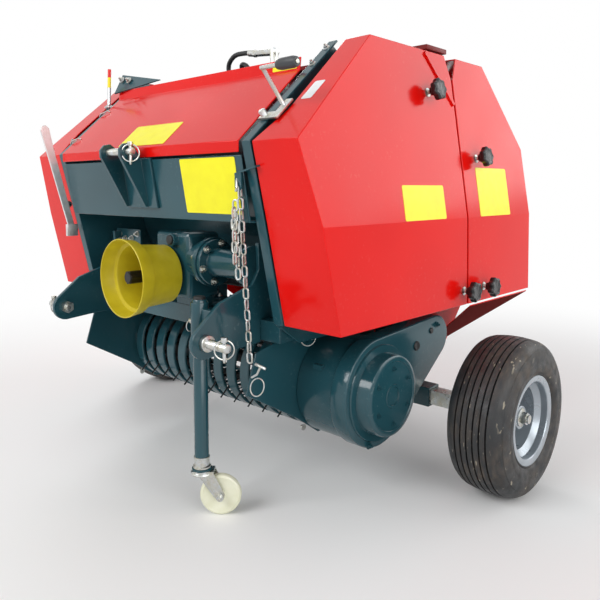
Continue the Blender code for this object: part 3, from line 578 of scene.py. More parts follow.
# %% [markdown]
# ## Drive shaft guard and stub shaft
# The guard is a thin moulded cone in two steps, with a rolled mouth. The shaft inside it is a six
# spline stub: a round outline whose radius steps in and out twelve times, pushed along its axis.

# %% Guard and splined shaft
SHAFT_X, SHAFT_Z = 0.030, 0.560
GUARD_BACK_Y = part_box("pto_guard")[1].y
SPLINES = 6
SPLINE_R, ROOT_R = 0.0175, 0.0152


def shaft_guard():
    outline = [(0.030, 0), (0.075, 0), (0.077, 0.002), (0.083, 0.090), (0.0845, 0.0935), (0.0935, 0.0965),
               (0.0950, 0.0990), (0.0985, 0.126), (0.1000, 0.130), (0.1000, 0.133), (0.0985, 0.1340),
               (0.0970, 0.1325), (0.0965, 0.128), (0.0920, 0.1010), (0.0905, 0.0985), (0.0815, 0.0960),
               (0.0800, 0.0930), (0.0742, 0.004), (0.0730, 0.003), (0.030, 0.003)]
    guard = bmesh.new()
    turn_into(guard, outline, (SHAFT_X, GUARD_BACK_Y, SHAFT_Z), (0, -1, 0), 72, closed=True)
    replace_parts(piece("moulded_guard", guard, "chassis", guard_yellow), "pto_guard")


def spline_ring(height):
    points = []
    for i in range(SPLINES * 4):
        angle = math.tau * i / (SPLINES * 4)
        radius = SPLINE_R if i % 4 < 2 else ROOT_R
        points.append((radius * math.cos(angle), radius * math.sin(angle), height))
    return points


def stub_shaft():
    shaft = bmesh.new()
    place = facing((0, -1, 0), (SHAFT_X, GUARD_BACK_Y, SHAFT_Z))
    for low, high in ((0.0005, 0.031), (0.041, 0.112)):
        work = bmesh.new()
        face = work.faces.new([work.verts.new(p) for p in spline_ring(low)])
        push_out(work, face, (0, 0, high - low))
        pour(shaft, work, place)
    core = [(0, 0.0005), (0.0148, 0.0005), (0.0148, 0.1125), (0.0135, 0.1148), (0, 0.1148)]
    turn_into(shaft, core, (SHAFT_X, GUARD_BACK_Y, SHAFT_Z), (0, -1, 0), 32)
    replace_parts(piece("splined_shaft", shaft, "pto_shaft", shaft_black), "pto_shaft")


shaft_guard()
stub_shaft()

# %% [markdown]
# ## Gearbox hardware
# The cast box has a filler plug, flange bolts and ribs between its side neck and its flange.

# %% Gearbox bolts and plug
CROSS_Y, CROSS_Z = -0.3635, 0.597
FLANGE_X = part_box("drive_tube")[0].x + 0.012


def gearbox_hardware():
    bolts, plug, ribs = bmesh.new(), bmesh.new(), bmesh.new()
    for i in range(6):
        angle = math.tau * (i + 0.25) / 6
        spot = (FLANGE_X, CROSS_Y + 0.0500 * math.cos(angle), CROSS_Z + 0.0500 * math.sin(angle))
        bolt_into(bolts, spot, (1, 0, 0), 0.0145)
        turned = angle + 0.5
        near = (FLANGE_X - 0.0262, CROSS_Y + 0.0560 * math.cos(turned), CROSS_Z + 0.0560 * math.sin(turned))
        bolt_into(bolts, near, (-1, 0, 0), 0.0120)
    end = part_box("drive_tube")[1].x - 0.013
    for i in range(4):
        angle = math.tau * (i + 0.4) / 4
        spot = (end, CROSS_Y + 0.0440 * math.cos(angle), CROSS_Z + 0.0440 * math.sin(angle))
        bolt_into(bolts, spot, (-1, 0, 0), 0.0120)
    piece("gearbox_bolts", bolts, "chassis", zinc)
    turn_into(plug, [(0, 0), (0.0125, 0), (0.0125, 0.0035), (0.0110, 0.0050), (0, 0.0050)],
              (0.062, -0.4238, 0.652), (0, -1, 0), 32)
    piece("gearbox_plug", plug, "chassis", hose_black)
    for i in range(4):
        angle = math.tau * (i + 0.1) / 4
        inner, outer = 0.0495, 0.0625
        way = Vector((0, math.cos(angle), math.sin(angle)))
        spots = [(0.1180, inner), (0.1535, inner), (0.1535, outer), (0.1460, outer - 0.002)]
        corners = [Vector((x, CROSS_Y, CROSS_Z)) + way * r for x, r in spots]
        side = Vector((0, -math.sin(angle), math.cos(angle)))
        slab_into(ribs, [c - side * 0.0025 for c in corners], side, 0.005)
    piece("gearbox_ribs", ribs, "chassis", green_enamel)


gearbox_hardware()

# %% [markdown]
# ## Hitch pins
# Each pin is kept by a linch pin: a short peg through it, with a sprung wire ring that snaps over
# the end. The peg is a rod, and the ring is wire on a circle that leans a little.

# %% Linch pins and hitch nuts
RING_R, RING_WIRE = 0.0215, 0.0017
PIN_Y, PIN_Z = -0.5245, 0.440
TOP_PIN_Y, TOP_PIN_Z = -0.5175, 0.878


def linch_pin(target, place, lean):
    """A peg straight down through the pin, and its ring hanging in front of the pin's end."""
    place = Vector(place)
    rod_into(target, place + Vector((0, 0, 0.0185)), place - Vector((0, 0, 0.026)), 0.0042, 14)
    rod_into(target, place - Vector((0, 0, 0.026)), place - Vector((0, 0, 0.033)), 0.0042, 14, 0.0022)
    turn_into(target, [(0, 0), (0.0072, 0), (0.0080, 0.003), (0.0072, 0.010), (0, 0.010)],
              place + Vector((0, 0, 0.0135)), (0, 0, 1), 20)
    wire_into(target, ring_points(place + Vector((0, 0, -0.004)), lean, (0.0, 0.0, 1.0), RING_R, RING_R, 40),
              RING_WIRE, 8, closed=True)


def hitch_hardware():
    metal = bmesh.new()
    for side in (1, -1):
        linch_pin(metal, (side * 0.3950, PIN_Y, PIN_Z), (side * 0.62, 0.78, 0))
        inner = side * 0.3175
        rod_into(metal, (inner, PIN_Y, PIN_Z), (inner - side * 0.013, PIN_Y, PIN_Z), 0.0175, 6)
        rod_into(metal, (inner, PIN_Y, PIN_Z), (inner - side * 0.022, PIN_Y, PIN_Z), 0.0100, 18)
    linch_pin(metal, (0.0330, TOP_PIN_Y, TOP_PIN_Z), (0.62, 0.78, 0))
    piece("linch_pins", metal, "chassis", zinc)


hitch_hardware()

# %% [markdown]
# ## Chain
# A short chain hangs from a bracket on the left flange, to tie up the pickup for the road. A link
# is wire bent to a long oval, and each link is turned a quarter from the last. The spare end is
# hooked back, so the top half hangs double. The chain is trim here, so it stays one still piece.

# %% Chain, bracket and hook
LINK_LONG, LINK_WIDE, LINK_WIRE = 0.0300, 0.0165, 0.0023
LINK_PITCH = LINK_LONG - 2 * LINK_WIRE
CHAIN_TOP = Vector((0.3880, -0.4700, 0.7900))
CHAIN_FOOT = Vector((0.3780, -0.4330, 0.3700))


def link_points(centre, along, across):
    half_straight = (LINK_LONG - LINK_WIDE) / 2
    radius = LINK_WIDE / 2 - LINK_WIRE
    points = []
    for end, first in ((1, 0.0), (-1, math.pi)):
        for i in range(7):
            angle = first + math.pi * i / 6
            reach = along * (end * half_straight + radius * math.sin(angle))
            points.append(centre + reach + across * radius * math.cos(angle))
    return points


def chain_into(target, top, foot, turned_first=0):
    way = (foot - top).normalized()
    count = int((foot - top).length / LINK_PITCH)
    base = way.cross(Vector((0.6, 0.8, 0))).normalized()
    for i in range(count):
        across = Matrix.Rotation(math.radians(35 + 90 * ((i + turned_first) % 2)), 4, way) @ base
        middle = top + way * LINK_PITCH * (i + 0.5)
        wire_into(target, link_points(middle, way, across), LINK_WIRE, 8, closed=True)
    return count


def tie_chain():
    metal, plate = bmesh.new(), bmesh.new()
    count = chain_into(metal, CHAIN_TOP, CHAIN_FOOT)
    spare_top = CHAIN_TOP + Vector((-0.017, 0.002, -0.030))
    count += chain_into(metal, spare_top, spare_top + Vector((0.004, 0.004, -0.185)), 1)
    second = CHAIN_TOP + Vector((-0.006, -0.012, -0.045))
    count += chain_into(metal, second, second + Vector((-0.002, 0.004, -0.150)), 0)
    hook = [CHAIN_TOP + Vector((-0.012, 0.006, 0.026)), CHAIN_TOP + Vector((-0.002, -0.006, 0.012)),
            CHAIN_TOP + Vector((0.003, -0.010, -0.002)), CHAIN_TOP + Vector((-0.004, -0.008, -0.010))]
    wire_into(metal, hook, 0.0028, 8)
    bar = CHAIN_FOOT + Vector((0.030, 0.004, 0.012))
    wire_into(metal, [bar + Vector((-0.013, -0.004, 0.004)), bar + Vector((0.013, 0.004, -0.004))], 0.0036, 8)
    stem = [bar, bar + Vector((-0.010, -0.002, -0.020)), bar + Vector((-0.026, -0.004, -0.030))]
    wire_into(metal, stem, 0.0026, 8)
    wire_into(metal, ring_points(CHAIN_FOOT + Vector((0.016, 0.006, -0.040)), (0.8, 0.6, 0.1), (0, 0.1, 1),
                                 0.0160, 0.0210, 28), 0.0015, 8, closed=True)
    piece("tie_chain", metal, "chassis", zinc)
    shelf = [(0.3770, -0.4750, 0.8150), (0.4440, -0.4750, 0.8300), (0.4440, -0.4560, 0.8330),
             (0.3770, -0.4560, 0.8180)]
    slab_into(plate, shelf, (0, 0, 1), 0.004)
    hanger = [(0.3770, -0.4745, 0.8160), (0.3980, -0.4745, 0.8190), (0.3980, -0.4745, 0.7860),
              (0.3850, -0.4745, 0.7780),
              (0.3770, -0.4745, 0.7880)]
    slab_into(plate, hanger, (0, 1, 0), 0.004)
    piece("chain_bracket", plate, "chassis", green_enamel)
    print("chain links", count)


tie_chain()

# %% [markdown]
# ## Jack
# The parking jack is a tube in a sleeve, with a peg hole, a cap, and a castor below. The hole is
# really cut, with a Boolean, because light shows through it.

# %% Jack leg, castor wheel and peg
JACK_X, JACK_Y = 0.258, -0.4835
LEG_R = 0.0172
PEG_HOLES = [0.200]
CASTOR_R = 0.050
CASTOR_HUB = Vector((0.2909, -0.4528, CASTOR_R))
CASTOR_AXIS = Vector((-0.682, 0.731, 0)).normalized()


def cut_holes(obj, cutters):
    for cutter in cutters:
        step = obj.modifiers.new("hole", "BOOLEAN")
        step.operation = "DIFFERENCE"
        step.object = cutter
    cut = bpy.data.meshes.new_from_object(obj.evaluated_get(bpy.context.evaluated_depsgraph_get()))
    obj.modifiers.clear()
    obj.data = cut
    for cutter in cutters:
        bpy.data.objects.remove(cutter, do_unlink=True)
    cut.set_sharp_from_angle(angle=SMOOTH_BELOW)


def loose_object(name, drawn):
    mesh = bpy.data.meshes.new(name)
    drawn.to_mesh(mesh)
    drawn.free()
    obj = bpy.data.objects.new(name, mesh)
    scene.collection.objects.link(obj)
    return obj


def jack():
    leg, cap, tread, axle = (bmesh.new() for _ in range(4))
    outline = [(0, 0.1122), (0.0240, 0.1122), (0.0240, 0.1160), (0.0176, 0.1175), (LEG_R, 0.1190),
               (LEG_R, 0.524),
               (0.0155, 0.5265), (0, 0.5265)]
    turn_into(leg, outline, (JACK_X, JACK_Y, 0), (0, 0, 1), 48)
    tube = piece("jack_tube", leg, "jack_leg", green_enamel)
    cutters = []
    for height in PEG_HOLES:
        drawn = bmesh.new()
        near, far = (JACK_X - 0.030, JACK_Y - 0.030, height), (JACK_X + 0.030, JACK_Y + 0.030, height)
        rod_into(drawn, near, far, 0.0062, 20)
        cutters.append(loose_object("peg_hole", drawn))
    cut_holes(tube, cutters)
    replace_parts(tube, "jack_leg")
    turn_into(cap, [(0, 0), (0.0142, 0), (0.0142, 0.0050), (0.0120, 0.0072), (0, 0.0078)],
              (JACK_X, JACK_Y, 0.5262), (0, 0, 1), 32)
    piece("jack_cap", cap, "jack_leg", hose_black)
    neck = bmesh.new()
    turn_into(neck, [(0.0150, 0.1178), (0.0215, 0.1178), (0.0215, 0.1215), (0.0180, 0.1235), (0.0180, 0.1400),
                     (0.0192, 0.1410), (0.0192, 0.1445), (0.0150, 0.1460)],
              (JACK_X, JACK_Y, 0), (0, 0, 1), 36, closed=True)
    piece("castor_neck", neck, "jack_leg", zinc)
    wheel_outline = [(0.0045, -0.0140), (0.0115, -0.0140), (0.0140, -0.0100), (0.0400, -0.0095),
                     (0.0440, -0.0105),
                     (0.0485, -0.0080), (CASTOR_R, -0.0045), (CASTOR_R, 0.0045), (0.0485, 0.0080),
                     (0.0440, 0.0105),
                     (0.0400, 0.0095), (0.0140, 0.0100), (0.0115, 0.0140), (0.0045, 0.0140)]
    turn_into(tread, wheel_outline, CASTOR_HUB, CASTOR_AXIS, 48, closed=True)
    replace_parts(piece("castor_roller", tread, "castor_wheel", nylon), "castor_wheel")
    for way in (1, -1):
        bolt_into(axle, CASTOR_HUB + CASTOR_AXIS * way * 0.0250, CASTOR_AXIS * way, 0.012)
    rod_into(axle, CASTOR_HUB - CASTOR_AXIS * 0.016, CASTOR_HUB + CASTOR_AXIS * 0.016, 0.0042, 14)
    turn_into(axle, [(0.018, 0), (0.0265, 0), (0.0275, -0.0025), (0.0265, -0.005), (0.018, -0.005)],
              (JACK_X, JACK_Y, 0.1068), (0, 0, 1), 36, closed=True)
    piece("castor_bolts", axle, "castor_fork", zinc)


def jack_peg():
    metal = bmesh.new()
    place = Vector((JACK_X, JACK_Y, 0.4700))
    rod_into(metal, place + Vector((-0.038, 0, 0)), place + Vector((-0.0222, 0, 0)), 0.0050, 16)
    rod_into(metal, place + Vector((-0.0265, 0, 0)), place + Vector((-0.0222, 0, 0)), 0.0090, 20)
    ring = place + Vector((-0.036, 0, -0.012))
    wire_into(metal, ring_points(ring, (0.3, 0.9, 0), (0, 0.1, 1), 0.010, 0.014, 28),
              0.0014, 8, closed=True)
    piece("jack_peg", metal, "chassis", zinc)


jack()
jack_peg()

# %% [markdown]
# ## Pickup
# The stripper bands are strips bent round the reel with their edges turned in. One band's section
# is a shallow channel. It is spun half a turn round the reel's shaft, and its two ends run straight
# back to the rails. Thirteen of them share one mesh with their rails.

# %% Stripper bands
REEL_Y, REEL_Z = -0.1205, 0.272
BAND_R, BAND_PITCH, BAND_WIDTH, BAND_COUNT = 0.130, 0.0575, 0.036, 13
BAND_EDGE = 0.007  # depth of the turned-in edges
RAIL_Y = 0.0615
PICKUP_LOW_X, PICKUP_HIGH_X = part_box("pickup_bands")[0].x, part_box("pickup_bands")[1].x


def channel_section():
    """(across, radius) round a band's section: a crown with both edges turned in."""
    half, wall = BAND_WIDTH / 2, 0.0026
    return [
        (-half, BAND_R - BAND_EDGE), (-half, BAND_R - 0.0022), (-half + 0.0022, BAND_R),
        (half - 0.0022, BAND_R),
        (half, BAND_R - 0.0022), (half, BAND_R - BAND_EDGE), (half - wall, BAND_R - BAND_EDGE),
        (half - wall, BAND_R - wall), (-half + wall, BAND_R - wall), (-half + wall, BAND_R - BAND_EDGE),
    ]


def band_into(target, x):
    work = bmesh.new()
    section = [work.verts.new((x + across, REEL_Y, REEL_Z + radius)) for across, radius in channel_section()]
    face = work.faces.new(section)
    around = bmesh.ops.spin(work, geom=[face, *face.edges, *face.verts], axis=(1, 0, 0),
                            cent=(0, REEL_Y, REEL_Z), steps=36, angle=math.pi)
    last = [g for g in around["geom_last"] if isinstance(g, bmesh.types.BMFace)]
    for cap in (face, last[0]):
        push_out(work, cap, (0, RAIL_Y - REEL_Y, 0))
        bmesh.ops.delete(work, geom=[cap], context="FACES_ONLY")
    pour(target, work)


def pickup():
    bands, bolts = bmesh.new(), bmesh.new()
    middle = (PICKUP_LOW_X + PICKUP_HIGH_X) / 2
    for i in range(BAND_COUNT):
        x = middle + (i - (BAND_COUNT - 1) / 2) * BAND_PITCH
        band_into(bands, x)
        bolt_into(bolts, (x, 0.0500, REEL_Z + BAND_R), (0, 0, 1), 0.011)
    for low, high in ((0.3905, 0.3985), (0.1455, 0.1535)):
        corners = [(PICKUP_LOW_X, 0.0535, low), (PICKUP_HIGH_X, 0.0535, low), (PICKUP_HIGH_X, 0.0735, low),
                   (PICKUP_LOW_X, 0.0735, low)]
        slab_into(bands, corners, (0, 0, 1), high - low)
    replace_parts(piece("stripper_bands", bands, "chassis", green_enamel), "pickup_bands")
    piece("band_bolts", bolts, "chassis", zinc)


pickup()

# %% [markdown]
# ## Pickup drive case
# A pear-shaped case holds the reel's chain. Its outline is two arcs joined by their tangents, with
# a rounded edge. A stepped boss stands out over the reel and a drum fills the gap behind it.

# %% Drive case
CASE_R, CASE_TOP_R = 0.140, 0.060
CASE_TOP_Y, CASE_TOP_Z = 0.1465, 0.370
CASE_X = (0.470, 0.518)
BOSS_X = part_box("drive_case")[1].x


def arc_points(centre_y, centre_z, radius, start, end, steps, x):
    angles = [start + (end - start) * i / steps for i in range(steps + 1)]
    return [(x, centre_y + radius * math.cos(a), centre_z + radius * math.sin(a)) for a in angles]


def drive_case():
    case, trim = bmesh.new(), bmesh.new()
    span = math.hypot(CASE_TOP_Y - REEL_Y, CASE_TOP_Z - REEL_Z)
    lean = math.atan2(CASE_TOP_Z - REEL_Z, CASE_TOP_Y - REEL_Y)
    opening = math.acos((CASE_R - CASE_TOP_R) / span)
    outline = arc_points(REEL_Y, REEL_Z, CASE_R, lean + opening, lean + math.tau - opening, 72, CASE_X[0])
    outline += arc_points(CASE_TOP_Y, CASE_TOP_Z, CASE_TOP_R, lean - opening, lean + opening, 28, CASE_X[0])
    work = bmesh.new()
    face = work.faces.new([work.verts.new(p) for p in outline])
    push_out(work, face, (CASE_X[1] - CASE_X[0], 0, 0))
    rims = [e for e in work.edges if e.calc_face_angle(0) > math.radians(60)]
    bmesh.ops.bevel(work, geom=rims, offset=0.0045, offset_type="OFFSET", segments=3, profile=0.5,
                    affect="EDGES", clamp_overlap=True, material=-1)
    pour(case, work)
    reach = BOSS_X - CASE_X[1]
    boss = [(0, 0), (0.1235, 0), (0.1235, 0.0030), (0.1215, 0.0060), (0.1040, 0.0065), (0.1030, 0.0080),
            (0.1030, reach - 0.0090), (0.1010, reach - 0.0035), (0.0960, reach - 0.0005), (0.0880, reach),
            (0.0860, reach - 0.0020), (0.0300, reach - 0.0020), (0.0290, reach), (0.0240, reach),
            (0.0225, reach - 0.0040), (0, reach - 0.0040)]
    turn_into(case, boss, (CASE_X[1] - 0.0005, REEL_Y, REEL_Z), (1, 0, 0), 96)
    drum = [(0, 0), (0.1320, 0), (0.1340, 0.0020), (0.1340, 0.1135), (0.1300, 0.1160), (0, 0.1160)]
    turn_into(case, drum, (0.3545, REEL_Y, REEL_Z), (1, 0, 0), 96)
    arm = [(0.4063, 0.0820, 0.340), (0.4063, 0.1575, 0.340), (0.4063, 0.1575, 0.404), (0.4063, 0.0820, 0.404)]
    slab_into(case, arm, (1, 0, 0), 0.0645)
    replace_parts(piece("chain_case", case, "chassis", green_enamel), "drive_case")
    rim_spots = ((REEL_Y + 0.128, REEL_Z + 0.012), (REEL_Y - 0.045, REEL_Z - 0.125),
                 (CASE_TOP_Y, CASE_TOP_Z + 0.035))
    for spot_y, spot_z in rim_spots:
        bolt_into(trim, (CASE_X[1] + 0.0002, spot_y, spot_z), (1, 0, 0), 0.013)
    for i in range(6):
        angle = math.tau * (i + 0.5) / 6
        spot = (BOSS_X - 0.0022, REEL_Y + 0.0700 * math.cos(angle), REEL_Z + 0.0700 * math.sin(angle))
        bolt_into(trim, spot, (1, 0, 0), 0.009)
    piece("case_bolts", trim, "chassis", green_enamel)


def case_plugs():
    """A rubber grommet high on the case, and a smaller plug behind it."""
    rubber = bmesh.new()
    turn_into(rubber, [(0, 0), (0.0130, 0), (0.0130, 0.002), (0.0105, 0.0045), (0, 0.0030)],
              (CASE_X[1] + 0.0002, 0.0450, 0.362), (1, 0, 0), 32)
    turn_into(rubber, [(0, 0), (0.0085, 0), (0.0085, 0.002), (0.0065, 0.0035), (0, 0.0035)],
              (CASE_X[1] + 0.0002, 0.1180, 0.392), (1, 0, 0), 28)
    piece("case_plugs", rubber, "chassis", hose_black)


drive_case()
case_plugs()

# %% [markdown]
# ## Chamber rollers
# Six ribbed steel rollers form and turn the bale. Each tube is spun first, and then eight low bars
# are laid along it. Bars are quicker than a spun outline with ribs, because ribs run lengthwise.

# %% Rollers
ROLLER_R = 0.035
RIBS = 8


def roller(node):
    low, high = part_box(node)
    centre = (low + high) / 2
    half = (high.x - low.x) / 2
    drawn = bmesh.new()
    tube = [(0, -half), (0.014, -half), (0.014, -half + 0.012), (ROLLER_R - 0.0045, -half + 0.012),
            (ROLLER_R - 0.0030, -half + 0.0135), (ROLLER_R - 0.0030, half - 0.0135),
            (ROLLER_R - 0.0045, half - 0.012),
            (0.014, half - 0.012), (0.014, half), (0, half)]
    turn_into(drawn, tube, centre, (1, 0, 0), 40)
    for i in range(RIBS):
        angle = math.tau * i / RIBS
        out = Vector((0, math.cos(angle), math.sin(angle)))
        across = Vector((0, -math.sin(angle), math.cos(angle))) * 0.004
        base = centre + out * (ROLLER_R - 0.0045)
        ends = (Vector((-half + 0.020, 0, 0)), Vector((half - 0.020, 0, 0)))
        near, far = base + ends[0], base + ends[1]
        corners = [near - across, far - across, far + across, near + across]
        slab_into(drawn, corners, out, 0.0042)
    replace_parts(piece(node + "_ribbed", drawn, BODY_OF[node], steel), node)


for node in sorted(n for n in frame["nodes"] if "_roller_" in n):
    roller(node)

# %% [markdown]
# ## Cover hardware
# Each side cover is held by black star knobs on zinc studs. The cover leans in above its fold, so
# every stud follows the skin's own normal. A knob is a disc whose rim swells into seven lobes.

# %% Star knobs
FOLD_X, FOLD_Z, LEAN = 0.595, 0.706, 0.161
FOOT_SPREAD = 0.0212  # the lower skin's lean
KNOBS = [  # (body, y, z)
    ("front_cover", 0.0365, 1.030),
    ("front_cover", 0.1475, 0.509),
    ("rear_cover", 0.2525, 0.868),
    ("rear_cover", 0.2595, 0.510),
]
LOBES = 7
STUD = [(0, 0), (0.0115, 0), (0.0115, 0.002), (0.0055, 0.0035), (0.0055, 0.013), (0, 0.013)]


def skin_point(y, z, side=1):
    """A point on a side cover's outer skin, and the way out of it."""
    if z >= FOLD_Z:
        x, way = FOLD_X - LEAN * (z - FOLD_Z), Vector((1, 0, LEAN))
    else:
        x, way = FOLD_X + FOOT_SPREAD * (FOLD_Z - z), Vector((1, 0, FOOT_SPREAD))
    way.normalize()
    return Vector((side * x, y, z)), Vector((side * way.x, way.y, way.z))


def knob_into(target, place, way, radius=0.0280):
    work = bmesh.new()
    steps = LOBES * 12
    rim = []
    for i in range(steps):
        angle = math.tau * i / steps
        reach = radius * (0.92 + 0.08 * math.cos(LOBES * angle))
        rim.append(work.verts.new((reach * math.cos(angle), reach * math.sin(angle), 0.024)))
    face = work.faces.new(rim)
    push_out(work, face, (0, 0, 0.018))
    edges = [e for e in work.edges if e.calc_face_angle(0) > math.radians(60)]
    bmesh.ops.bevel(work, geom=edges, offset=0.0045, segments=3, profile=0.5, affect="EDGES", material=-1)
    top = max(work.faces, key=lambda f: f.calc_center_median().z)
    bmesh.ops.inset_region(work, faces=[top], thickness=0.004, depth=-0.0015)
    pour(target, work, facing(way, place))
    turn_into(target, [(0, 0.012), (0.0105, 0.012), (0.0125, 0.024), (0, 0.024)], place, way, 28)


def cover_knobs():
    for word, side in (("left", 1), ("right", -1)):
        for kind in ("front_cover", "rear_cover"):
            black, stud = bmesh.new(), bmesh.new()
            for body, y, z in KNOBS:
                if body != kind:
                    continue
                place, way = skin_point(y, z, side)
                knob_into(black, place, way)
                turn_into(stud, STUD, place, way, 24)
            piece(f"{kind}_knobs_{word}", black, f"{kind}_{word}", knob_black)
            piece(f"{kind}_studs_{word}", stud, f"{kind}_{word}", zinc)


cover_knobs()

# %% [markdown]
# ## Ridges and labels
# A narrow fold stiffens the corner of each front cover beside the hinge gap. The labels are thin
# vinyl with round corners and nothing printed on them, laid on the skin along its slope.

# %% Ridges and labels
RIDGE = ((0.0445, 1.134), (0.1605, 1.010))


def cover_ridge(word, side):
    drawn = bmesh.new()
    (y0, z0), (y1, z1) = RIDGE
    along = Vector((0, y1 - y0, z1 - z0)).normalized()
    for inset, height in ((0.0085, 0.0022), (0.0050, 0.0048)):
        shift = Vector((0, -along.z, along.y)) * inset
        corners = []
        for y, z, sign in ((y0, z0, -1), (y1, z1, -1), (y1, z1, 1), (y0, z0, 1)):
            corners.append(skin_point(y + sign * shift.y, z + sign * shift.z, side)[0])
        slab_into(drawn, corners, skin_point(y0, z0, side)[1], height)
    piece("cover_ridge_" + word, drawn, "front_cover_" + word, red_enamel)


LABEL_THICK = 0.0007


def skin_label(name, body, low_y, high_y, low_z, high_z, side, look):
    drawn = bmesh.new()
    spots = ((low_y, low_z), (high_y, low_z), (high_y, high_z), (low_y, high_z))
    corners = [skin_point(y, z, side)[0] for y, z in spots]
    slab_into(drawn, corners, skin_point(low_y, high_z, side)[1], LABEL_THICK, 0.005)
    piece(name, drawn, body, look)


COVER_LABELS = {  # cover: low and high y, low and high z
    "front_cover": (-0.1305, 0.0565, 0.7075, 0.793),
    "rear_cover": (0.2415, 0.4265, 0.7075, 0.843),
}


def plane_label(name, body, corners, way, look):
    drawn = bmesh.new()
    slab_into(drawn, corners, way, LABEL_THICK, 0.004)
    piece(name, drawn, body, look)


for word, side in (("left", 1), ("right", -1)):
    cover_ridge(word, side)
    for kind, edges in COVER_LABELS.items():
        skin_label(f"{kind}_label_{word}", f"{kind}_{word}", *edges, side, label_yellow)

PANEL_RATE = (-0.4735 + 0.4475) / (0.858 - 0.709)  # how far the front panel leans forward with height
PANEL_OUT = Vector((0, -1, PANEL_RATE)).normalized()


def panel_point(x, z):
    return Vector((x, -0.4475 + PANEL_RATE * (z - 0.709), z)) + PANEL_OUT * 0.0003


PANEL_LABEL = ((0.175, 0.727), (0.375, 0.727), (0.375, 0.855), (0.175, 0.855))
plane_label("panel_label", "chassis", [panel_point(x, z) for x, z in PANEL_LABEL], PANEL_OUT, label_yellow)
SLOPE_RATE = (1.064 - 0.889) / (0.5125 - 0.318)
SLOPE_OUT = Vector((0, -SLOPE_RATE, 1)).normalized()


def slope_point(x, y, lift=0.0003):
    """A point on the sloping top, from its front edge at y = -0.481."""
    return Vector((x, y, 0.889 + SLOPE_RATE * (y + 0.481))) + SLOPE_OUT * lift


LID_LABEL = ((-0.095, -0.4745), (0.112, -0.4745), (0.112, -0.4105), (-0.095, -0.4105))
plane_label("lid_label", "chassis", [slope_point(x, y) for x, y in LID_LABEL], SLOPE_OUT, label_yellow)
LIP_OUT = Vector((0, -1, 0.13)).normalized()
LIP_LABEL = ((0.306, 1.067), (0.388, 1.067), (0.388, 1.089), (0.306, 1.089))
lip_corners = [Vector((x, -0.2866 + 0.133 * (z - 1.064), z)) + LIP_OUT * 0.0004 for x, z in LIP_LABEL]
plane_label("lip_label", "chassis", lip_corners, LIP_OUT, label_yellow)
COVER_SLOPE = (1.141 - 0.886) / (0.505 - 0.217)
COVER_SLOPE_OUT = Vector((0, -COVER_SLOPE, 1)).normalized()


def cover_slope_point(x, y):
    return Vector((x, y, 0.886 + COVER_SLOPE * (y + 0.4735))) + COVER_SLOPE_OUT * 0.0003


SLOPE_LABEL = ((0.476, -0.3685), (0.506, -0.3685), (0.506, -0.3185), (0.476, -0.3185))
slope_corners = [cover_slope_point(x, y) for x, y in SLOPE_LABEL]
plane_label("slope_label", "front_cover_left", slope_corners, COVER_SLOPE_OUT, label_white)

# %% [markdown]
# ## Clips, brace and frame bolts
# Wire clips hold the lid's corners, a three-cornered brace ties the lid's back to the right side
# plate, and hexagon bolts show along the frame, the lever and the pickup plates.

# %% Small frame hardware
def pickup_latch():
    """The pickup's lifting lug: a cross pin with a ring, and a stop tab on the end plate's drum."""
    metal, lug = bmesh.new(), bmesh.new()
    place = Vector((0.3700, -0.2050, 0.4100))
    rod_into(metal, place, place + Vector((0.012, -0.040, 0.014)), 0.0075, 18)
    washer, far = place + Vector((0.004, -0.012, 0.004)), place + Vector((0.006, -0.018, 0.006))
    rod_into(metal, washer, far, 0.0135, 24)
    ring = place + Vector((0.006, -0.028, 0.000))
    wire_into(metal, ring_points(ring, (0.8, 0.5, 0), (0, 0.2, 1), 0.019, 0.021, 32), 0.0015, 8, closed=True)
    corners = [(0.3640, -0.2300, 0.3950), (0.3640, -0.1750, 0.4040), (0.3640, -0.1750, 0.4250),
               (0.3640, -0.2150, 0.4250)]
    slab_into(lug, corners, (1, 0, 0), 0.006)
    tab = [(0.4000, -0.2420, 0.3350), (0.4280, -0.2420, 0.3350), (0.4280, -0.2420, 0.3480),
           (0.4000, -0.2420, 0.3480)]
    slab_into(lug, tab, (0, 0.9, 0.1), 0.020)
    piece("latch_pin", metal, "chassis", zinc)
    piece("latch_lug", lug, "chassis", green_enamel)


pickup_latch()


